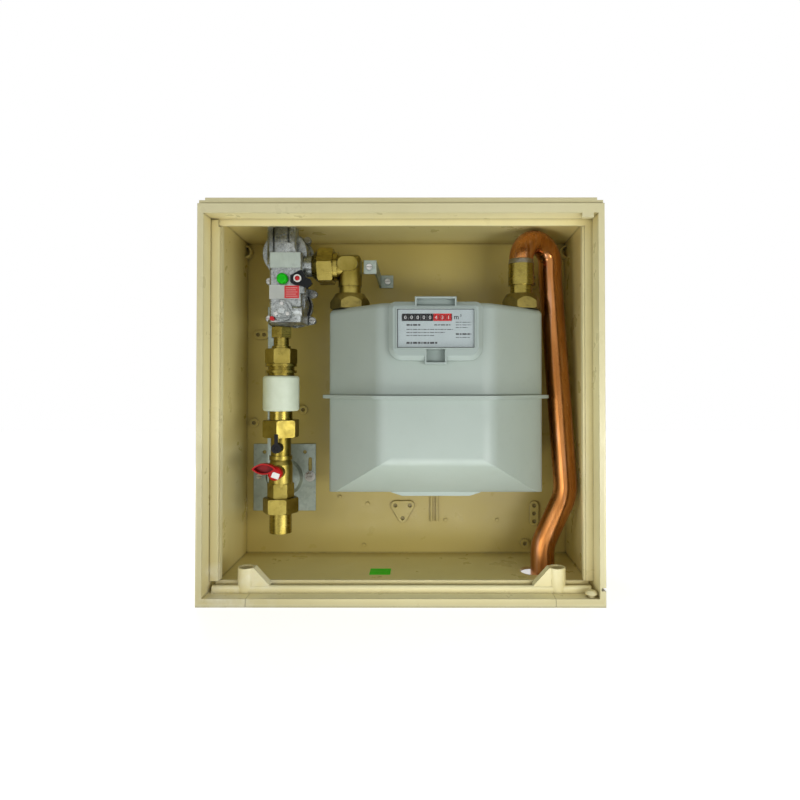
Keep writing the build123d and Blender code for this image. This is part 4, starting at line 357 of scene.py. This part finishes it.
def metal(name, light, deep, stain, roughness, grain, relief, stretch=(1, 1, 1), stained=0.7):
    """Worn metal: two tones, dark stains, uneven polish and a grain."""
    finish = Finish(name, Metallic=1.0)
    tone = finish.ramp(finish.noise(28.0, detail=5.0, roughness=0.6), (0.3, deep), (0.68, light))
    stains = finish.level(finish.noise(75.0, detail=7.0, roughness=0.7), 0.0, stained, start=0.53, end=0.72)
    tone = finish.blend(stains, tone, stain)
    finish.colour(finish.blend(finish.crevice(2.5 * MM, amount=0.7), tone, stain))
    finish.rough(finish.level(finish.noise(60.0, detail=5.0, roughness=0.65, stretch=stretch), *roughness))
    finish.soften(0.5 * MM)
    finish.bump(finish.noise(grain, roughness=0.6, stretch=stretch), relief, strength=0.7)
    return finish.material


def drawn_copper():
    """Drawn tube with long streaks and brown oxide specks."""
    finish = Finish("drawn_copper", Metallic=1.0)
    drawn = (1.0, 1.0, 0.10)
    bands = finish.noise(70.0, detail=5.0, roughness=0.6, stretch=drawn)
    tone = finish.ramp(bands, (0.32, COPPER_DEEP), (0.66, COPPER))
    clouds = finish.noise(16.0, detail=6.0, roughness=0.65, stretch=(1.0, 1.0, 0.5))
    tone = finish.blend(finish.level(clouds, 0.0, 0.6, start=0.48, end=0.74), tone, COPPER_DEEP)
    streaks = finish.noise(95.0, detail=4.0, roughness=0.6, stretch=(1.0, 1.0, 0.06))
    tone = finish.blend(finish.level(streaks, 0.0, 0.55, start=0.54, end=0.70), tone, COPPER_PINK)
    specks = finish.noise(150.0, detail=6.0, roughness=0.75, stretch=(1.0, 1.0, 0.3))
    finish.colour(finish.blend(finish.level(specks, 0.0, 0.5, start=0.60, end=0.78), tone, COPPER_OXIDE))
    finish.rough(finish.level(finish.noise(45.0, detail=5.0, roughness=0.65, stretch=drawn), 0.20, 0.36))
    finish.bump(finish.noise(260.0, roughness=0.6, stretch=drawn), 0.05 * MM, strength=0.6)
    return finish.material


def die_casting():
    """Bare die-cast alloy with a grainy skin."""
    finish = Finish("die_casting", Metallic=0.85)
    tone = finish.ramp(finish.noise(35.0, detail=5.0, roughness=0.65), (0.3, CAST_DEEP), (0.62, CAST_GREY))
    grime = finish.level(finish.noise(90.0, detail=6.0, roughness=0.7), 0.0, 0.6, start=0.55, end=0.75)
    tone = finish.blend(grime, tone, CAST_GRIME)
    speckle = finish.level(finish.noise(430.0, detail=4.0, roughness=0.7), 0.0, 0.75, start=0.50, end=0.64)
    tone = finish.blend(speckle, tone, CAST_SPECKLE)
    finish.colour(finish.blend(finish.crevice(5.0 * MM, amount=0.8), tone, CAST_SHADOW))
    finish.rough(finish.level(finish.noise(70.0, detail=4.0), 0.19, 0.38))
    finish.soften(0.7 * MM)
    finish.bump(finish.noise(520.0, detail=4.0, roughness=0.65), 0.22 * MM, strength=0.8)
    return finish.material


def galvanised():
    """Zinc-coated sheet with its spangle."""
    finish = Finish("galvanised", Metallic=0.9)
    tone = finish.ramp(finish.cells(210.0), (0.0, ZINC_DEEP), (1.0, ZINC))
    stains = finish.level(finish.noise(60.0, detail=6.0, roughness=0.7), 0.0, 0.35, start=0.52, end=0.75)
    tone = finish.blend(stains, tone, ZINC_STAIN)
    finish.colour(finish.blend(finish.crevice(4.0 * MM, amount=0.7), tone, ZINC_SHADOW))
    finish.rough(finish.level(finish.noise(24.0, detail=4.0), 0.42, 0.54))
    finish.soften(0.4 * MM)
    finish.bump(finish.noise(300.0), 0.04 * MM, strength=0.6)
    return finish.material


def moulded(name, light, deep, roughness=(0.25, 0.4), coat=0.0, radius=0.4 * MM, ior=1.48, hollow_shade=None):
    """Moulded plastic or rubber in two close tones with a fine grain, and a third, darker tone painted as
    shade in hollows.
    """
    finish = Finish(name, IOR=ior, Coat_Weight=coat, Coat_Roughness=COAT_ROUGHNESS)
    tone = finish.ramp(finish.noise(60.0, detail=4.0, roughness=0.6), (0.3, deep), (0.7, light))
    if hollow_shade:
        # Painted shade in hollows.
        tone = finish.blend(finish.crevice(HOLLOW_SHADE_REACH, amount=0.9), tone, hollow_shade)
    finish.colour(tone)
    finish.rough(finish.level(finish.noise(90.0, detail=4.0), *roughness))
    finish.soften(radius)
    finish.bump(finish.noise(600.0), 0.04 * MM, strength=0.5)
    return finish.material


def clear_window():
    """Thin clear cover over the dial, with faint haze."""
    finish = Finish("clear_window", IOR=1.3, Alpha=0.05)
    finish.colour(finish.ramp(finish.noise(20.0), (0.3, HAZE_DEEP), (0.7, HAZE)))
    finish.rough(finish.level(finish.noise(60.0, detail=4.0), 0.03, 0.10))
    return finish.material


def ink(name, light, deep):
    """Printed ink, slightly uneven."""
    return moulded(name, light, deep, roughness=(0.4, 0.55), radius=0.02 * MM)


# Metals: light, deep and stained tone, range of roughness, grain per metre and its relief
METALS = {
    "cast_brass": dict(
        light=BRASS, deep=BRASS_DEEP, stain=BRASS_TARNISH,
        roughness=(0.28, 0.44), grain=900.0, relief=0.12 * MM),
    "brass": dict(
        light=BRASS, deep=BRASS_DEEP, stain=BRASS_TARNISH,
        roughness=(0.17, 0.33), grain=90.0, relief=0.02 * MM, stretch=(1, 1, 22)),
    "dark_brass": dict(
        light=(0.27, 0.218, 0.062), deep=(0.15, 0.115, 0.03), stain=(0.055, 0.045, 0.015),
        roughness=(0.36, 0.54), grain=800.0, relief=0.12 * MM),
    "shaft_steel": dict(
        light=(0.55, 0.55, 0.55), deep=(0.42, 0.42, 0.42), stain=(0.2, 0.2, 0.2),
        roughness=(0.2, 0.35), grain=300.0, relief=0.02 * MM),
    "solder": dict(
        light=(0.34, 0.32, 0.27), deep=(0.15, 0.135, 0.11), stain=(0.04, 0.033, 0.025),
        roughness=(0.3, 0.5), grain=260.0, relief=0.6 * MM),
    "ball_chrome": dict(
        light=(0.75, 0.75, 0.75), deep=(0.68, 0.68, 0.68), stain=(0.5, 0.5, 0.5),
        roughness=(0.06, 0.12), grain=300.0, relief=0.01 * MM),
    "plate_silver": dict(
        light=(0.42, 0.48, 0.43), deep=(0.35, 0.40, 0.36), stain=(0.20, 0.22, 0.20),
        roughness=(0.45, 0.6), grain=260.0, relief=0.02 * MM, stretch=(12, 1, 1), stained=0.4),
    "screw_steel": dict(
        light=(0.60, 0.60, 0.57), deep=(0.44, 0.44, 0.41), stain=(0.20, 0.19, 0.16),
        roughness=(0.22, 0.4), grain=500.0, relief=0.04 * MM),
}

# Plastics, rubber and paper: light and deep tone, range of roughness and what else differs
PLASTICS = {
    "dial_white": dict(light=(0.47, 0.545, 0.55), deep=(0.435, 0.505, 0.51), roughness=(0.35, 0.45)),
    "drum_black": dict(
        light=(0.012, 0.012, 0.013), deep=(0.006, 0.006, 0.007), roughness=(0.4, 0.55), ior=1.25),
    "drum_red": dict(light=(0.66, 0.012, 0.012), deep=(0.54, 0.009, 0.009), roughness=(0.4, 0.55), ior=1.25),
    "seat_white": dict(light=(0.82, 0.82, 0.80), deep=(0.76, 0.76, 0.74)),
    # the handle's dark inside tone is painted shade
    "handle_red": dict(
        light=(0.50, 0.007, 0.009), deep=(0.38, 0.004, 0.005), hollow_shade=(0.07, 0.001, 0.001),
        roughness=(0.32, 0.46), ior=1.28),
    "tag_white": dict(light=(0.80, 0.80, 0.77), deep=(0.72, 0.72, 0.68), roughness=(0.35, 0.5)),
    "black_rubber": dict(
        light=(0.010, 0.010, 0.011), deep=(0.005, 0.005, 0.006), roughness=(0.38, 0.55), ior=1.25),
    "sleeve_white": dict(
        light=(0.64, 0.71, 0.565), deep=(0.58, 0.65, 0.505), roughness=(0.38, 0.52), radius=0.8 * MM),
    "button_green": dict(
        light=(0.003, 0.50, 0.003), deep=(0.002, 0.40, 0.002), roughness=(0.4, 0.5), ior=1.3),
    "button_red": dict(
        light=(0.52, 0.008, 0.012), deep=(0.40, 0.005, 0.008), roughness=(0.3, 0.42), coat=0.05, ior=1.4),
    "lever_black": dict(
        light=(0.010, 0.012, 0.013), deep=(0.005, 0.006, 0.007), roughness=(0.38, 0.55), ior=1.25),
    "label_paper": dict(
        light=(0.50, 0.525, 0.50), deep=(0.44, 0.465, 0.44), roughness=(0.4, 0.55), radius=0.05 * MM),
}

# Inks: light and deep tone
INKS = {
    "digit_white": ((0.86, 0.86, 0.84), (0.78, 0.78, 0.76)),
    # the dial's ink, also used for the painted shade along its edges
    "dial_ink_and_edge_shade": ((0.022, 0.024, 0.026), (0.014, 0.015, 0.017)),
    "label_red": ((0.58, 0.025, 0.03), (0.48, 0.02, 0.022)),
    "label_pale": ((0.72, 0.60, 0.58), (0.64, 0.52, 0.50)),
    "sticker_green": ((0.004, 0.78, 0.004), (0.003, 0.66, 0.003)),
}

FINISHES = {
    "cabinet_plastic": ivory_moulding(),
    "meter_paint": meter_paint("meter_paint", METER_GREY, METER_GREY_DEEP, radius=0.8 * MM),
    "index_plastic": meter_paint("index_plastic", INDEX_GREY, INDEX_GREY_DEEP, radius=0.9 * MM),
    "window": clear_window(),
    "copper": drawn_copper(),
    "die_cast": die_casting(),
    "galvanised": galvanised(),
}
FINISHES.update({name: metal(name, **look) for name, look in METALS.items()})
FINISHES.update({name: moulded(name, **look) for name, look in PLASTICS.items()})
FINISHES.update({name: ink(name, *tones) for name, tones in INKS.items()})

# Nodes whose finish is not the one of their slot
NODE_FINISHES = {
    "valve_body": "cast_brass",
    "valve_union_nut": "cast_brass",
    "service_union_nut": "cast_brass",
    "isolator_union_nut": "cast_brass",
    "outlet_elbow": "cast_brass",
    "regulator_label": "label_paper",
}


def dress_nodes():
    """Gives every node of the frame its finish."""
    for name, node in NODES.items():
        finish = FINISHES[NODE_FINISHES.get(name, SLOTS[name])]
        for slot in node.material_slots:
            slot.material = finish


def place_object(name, content):
    """Puts a mesh, a lamp or a camera into the scene."""
    thing = bpy.data.objects.new(name, content)
    bpy.context.scene.collection.objects.link(thing)
    return thing


def new_piece(name, points, faces, finish, body):
    """A mesh piece that rides on a body."""
    mesh = bpy.data.meshes.new(name)
    mesh.from_pydata(points, [], faces)
    mesh.validate()
    mesh.materials.append(FINISHES[finish])
    piece = place_object(name, mesh)
    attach(piece, body)


def rectangle(x, y, width, depth):
    """Corners of a rectangle seen from above."""
    return [(x + u * width / 2, y + v * depth / 2) for u, v in ((-1, -1), (1, -1), (1, 1), (-1, 1))]


def glyph(text, height, weight=0.0):
    """Points in the plane and faces of a plain sign, centred and cut into bands so that it can be bent."""
    curve = bpy.data.curves.new("glyph", "FONT")
    curve.body = text
    curve.align_x = "CENTER"
    curve.align_y = "CENTER"
    curve.resolution_u = GLYPH_ROUNDNESS
    curve.offset = weight
    holder = place_object("glyph", curve)
    bpy.context.view_layer.update()
    mesh = bpy.data.meshes.new_from_object(holder)
    shape = bmesh.new()
    shape.from_mesh(mesh)
    top = max(v.co.y for v in shape.verts)
    low = min(v.co.y for v in shape.verts)
    for band in range(1, GLYPH_BANDS):
        cut = (0.0, low + band * (top - low) / GLYPH_BANDS, 0.0)
        everything = shape.verts[:] + shape.edges[:] + shape.faces[:]
        bmesh.ops.bisect_plane(shape, geom=everything, plane_co=cut, plane_no=(0.0, 1.0, 0.0))
    shape.verts.index_update()
    share = height / (top - low)
    middle = (top + low) / 2
    points = [(v.co.x * share, (v.co.y - middle) * share) for v in shape.verts]
    faces = [tuple(v.index for v in face.verts) for face in shape.faces]
    shape.free()
    bpy.data.objects.remove(holder)
    bpy.data.curves.remove(curve)
    bpy.data.meshes.remove(mesh)
    return points, faces


class Print:
    """Flat marks collected into one piece on a plane that faces the front."""

    def __init__(self, y):
        self.y = y
        self.points = []
        self.faces = []

    def add(self, points, faces):
        start = len(self.points)
        self.points += [(x, self.y, z) for x, z in points]
        self.faces += [tuple(start + i for i in face) for face in faces]

    def bar(self, x0, x1, z0, z1):
        self.add([(x0, z0), (x1, z0), (x1, z1), (x0, z1)], [(0, 1, 2, 3)])

    def sign(self, text, height, x, z, weight):
        points, faces = glyph(text, height, weight)
        self.add([(x + u, z + v) for u, v in points], faces)

    def rule(self, x0, x1, z, thick):
        """Row of plain dashes between two places."""
        x = x0
        turn = 0
        while x < x1:
            end = min(x + DASHES[turn % len(DASHES)] * MM, x1)
            self.bar(x, end, z - thick / 2, z + thick / 2)
            x = end + DASH_GAP
            turn += 1

    def piece(self, name, finish, slot):
        new_piece(name, self.points, self.faces, finish, "cabinet")


def drum_digits(index, shown):
    """Ten digits wrapped round one number drum, with the shown one at the front."""
    low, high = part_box(f"number_drum_{index}")
    radius = (high.z - low.z) / 2
    reach = radius + PRINT_LIFT
    centre = (low + high) / 2
    step = 2 * math.pi / DIGITS
    points = []
    faces = []
    for digit in range(DIGITS):
        flat, shape = glyph(str(digit), DIGIT_SHARE * step * radius)
        start = len(points)
        for u, v in flat:
            turn = v / radius + (digit - shown) * step
            y = centre.y - reach * math.cos(turn)
            z = centre.z + reach * math.sin(turn)
            points.append((centre.x + u, y, z))
        faces += [tuple(start + i for i in face) for face in shape]
    new_piece(f"drum_digits_{index}", points, faces, "digit_white", f"drum_{index}")


def counter_edges():
    """Printed edge above and below the digits, black beside the first drums and red beside the last."""
    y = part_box("index_plate")[0].y - PRINT_LIFT
    for slot, first, last in (("drum_black", 1, RED_FROM - 1), ("drum_red", RED_FROM, len(READING))):
        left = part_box(f"number_drum_{first}")[0].x
        low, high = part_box(f"number_drum_{last}")
        z = (low.z + high.z) / 2
        edge = Print(y)
        for side in (-1, 1):
            outer = z + side * (COUNTER_HALF + COUNTER_LAP)
            inner = z + side * (COUNTER_HALF - COUNTER_EDGE)
            edge.bar(left, high.x, min(outer, inner), max(outer, inner))
        edge.piece(f"counter_edge_{slot}", slot, slot)


def dial_marks():
    """Plain print on the dial: the unit beside the counter and rows of dashes; and painted shade of the
    housing's frame as a dark line along the edges.
    """
    low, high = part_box("index_plate")
    width = high.x - low.x
    marks = Print(low.y - PRINT_LIFT)
    for sign, height, place, down in DIAL_UNIT:
        marks.sign(sign, height, low.x + place * width, high.z - down, UNIT_WEIGHT)
    # Painted shade of the housing's frame along the dial's lower, upper and left edge.
    marks.bar(low.x, high.x, low.z, low.z + DIAL_EDGE_SHADE)
    marks.bar(low.x, high.x, high.z - DIAL_EDGE_SHADE, high.z)
    marks.bar(low.x, low.x + DIAL_EDGE_SHADE, low.z + DIAL_EDGE_SHADE, high.z - DIAL_EDGE_SHADE)
    for start, end, down, thick in DIAL_RULES:
        marks.rule(low.x + start * width, low.x + end * width, high.z - down * MM, thick * MM)
    marks.piece("dial_marks", "dial_ink_and_edge_shade", "lever_black")


def regulator_marks():
    """Red field and pale rules on the label under the buttons."""
    low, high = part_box("regulator_label")
    width = high.x - low.x
    height = high.z - low.z
    y = low.y - PRINT_LIFT
    left, right = (low.x + share * width for share in LABEL_FIELD_X)
    foot, head = (low.z + share * height for share in LABEL_FIELD_Z)
    field = Print(y)
    field.bar(left, right, foot, head)
    field.piece("label_field", "label_red", "button_red")
    start, end = LABEL_RULE_X
    first, step = LABEL_RULE_Z
    rules = Print(y - PRINT_LIFT)
    for row in range(LABEL_RULES):
        z = low.z + (first + step * row) * height
        short = LABEL_RULE_SHORT * (row % 2)
        rules.bar(low.x + start * width, low.x + (end - short) * width, z, z + LABEL_RULE_THICK)
    rules.piece("label_rules", "label_pale", "tag_white")


def floor_sticker():
    """Small green sticker that lies on the cabinet's sloping floor."""
    shell = NODES["box_shell"]
    graph = bpy.context.evaluated_depsgraph_get()
    points = []
    for x, y in rectangle(*STICKER_PLACE, *STICKER_SIZE):
        _, floor, _, _ = shell.ray_cast((x, y, FLOOR_PROBE), (0.0, 0.0, -1.0), depsgraph=graph)
        points.append((floor.x, floor.y, floor.z + PRINT_LIFT))
    new_piece("floor_sticker", points, [(0, 1, 2, 3)], "sticker_green", "cabinet")


def white_to_see(tree):
    """One for rays of the camera, reflections and clear pieces, and nought for light on the object."""
    ray = tree.nodes.new("ShaderNodeLightPath")
    seen = ray.outputs["Is Camera Ray"]
    for other in ("Is Glossy Ray", "Is Transmission Ray"):
        either = tree.nodes.new("ShaderNodeMath")
        either.operation = "MAXIMUM"
        tree.links.new(seen, either.inputs[0])
        tree.links.new(ray.outputs[other], either.inputs[1])
        seen = either.outputs[0]
    return seen


def studio_floor():
    """Pale floor that looks white and keeps the object's shadow."""
    finish = Finish("studio_floor", Roughness=0.8, Emission_Color=WHITE)
    finish.colour(finish.ramp(finish.noise(2.0, detail=2.0), (0.3, STUDIO_DIM), (0.7, STUDIO_PALE)))
    glow = finish.product(white_to_see(finish.tree), STUDIO_GLOW)
    finish.feed(finish.shader.inputs["Emission Strength"], glow)
    mesh = bpy.data.meshes.new("studio_floor")
    corners = [(x, y, 0.0) for x, y in rectangle(0.0, 0.0, STUDIO_SIZE, STUDIO_SIZE)]
    mesh.from_pydata(corners, [], [(0, 1, 2, 3)])
    mesh.materials.append(finish.material)
    place_object("studio_floor", mesh)


def surroundings():
    """World that is white to the camera and in reflections and a soft light to the rest."""
    world = bpy.data.worlds.new("surroundings")
    bpy.context.scene.world = world
    world.use_nodes = True
    nodes = world.node_tree.nodes
    links = world.node_tree.links
    soft = nodes["Background"]
    shown = nodes.new("ShaderNodeBackground")
    for background, strength in ((soft, AMBIENT), (shown, 1.0)):
        background.inputs["Color"].default_value = WHITE
        background.inputs["Strength"].default_value = strength
    choice = nodes.new("ShaderNodeMixShader")
    links.new(white_to_see(world.node_tree), choice.inputs[0])
    links.new(soft.outputs[0], choice.inputs[1])
    links.new(shown.outputs[0], choice.inputs[2])
    links.new(choice.outputs[0], nodes["World Output"].inputs["Surface"])


def lamp(name, place, target, size, power):
    """Soft rectangular lamp that looks at a target."""
    light = bpy.data.lights.new(name, "AREA")
    light.energy = power
    light.shape = "RECTANGLE"
    light.size, light.size_y = size
    holder = place_object(name, light)
    holder.location = place
    holder.visible_camera = False
    holder.rotation_euler = (Vector(target) - Vector(place)).to_track_quat("-Z", "Y").to_euler()


def camera():
    """Camera at the photograph's viewpoint."""
    lens = bpy.data.cameras.new("camera")
    lens.lens = CAMERA_LENS
    lens.sensor_width = CAMERA_SENSOR
    lens.shift_x, lens.shift_y = CAMERA_SHIFT
    lens.clip_start = CAMERA_NEAR
    viewer = place_object("camera", lens)
    viewer.location = CAMERA_PLACE
    viewer.rotation_euler = [math.radians(angle) for angle in CAMERA_TURN]
    bpy.context.scene.camera = viewer


dress_nodes()
for number, shown in enumerate(READING, 1):
    drum_digits(number, shown)
counter_edges()
dial_marks()
regulator_marks()
floor_sticker()
studio_floor()
surroundings()
for settings in LAMPS:
    lamp(*settings)
camera()
bpy.context.scene.view_settings.view_transform = "Standard"
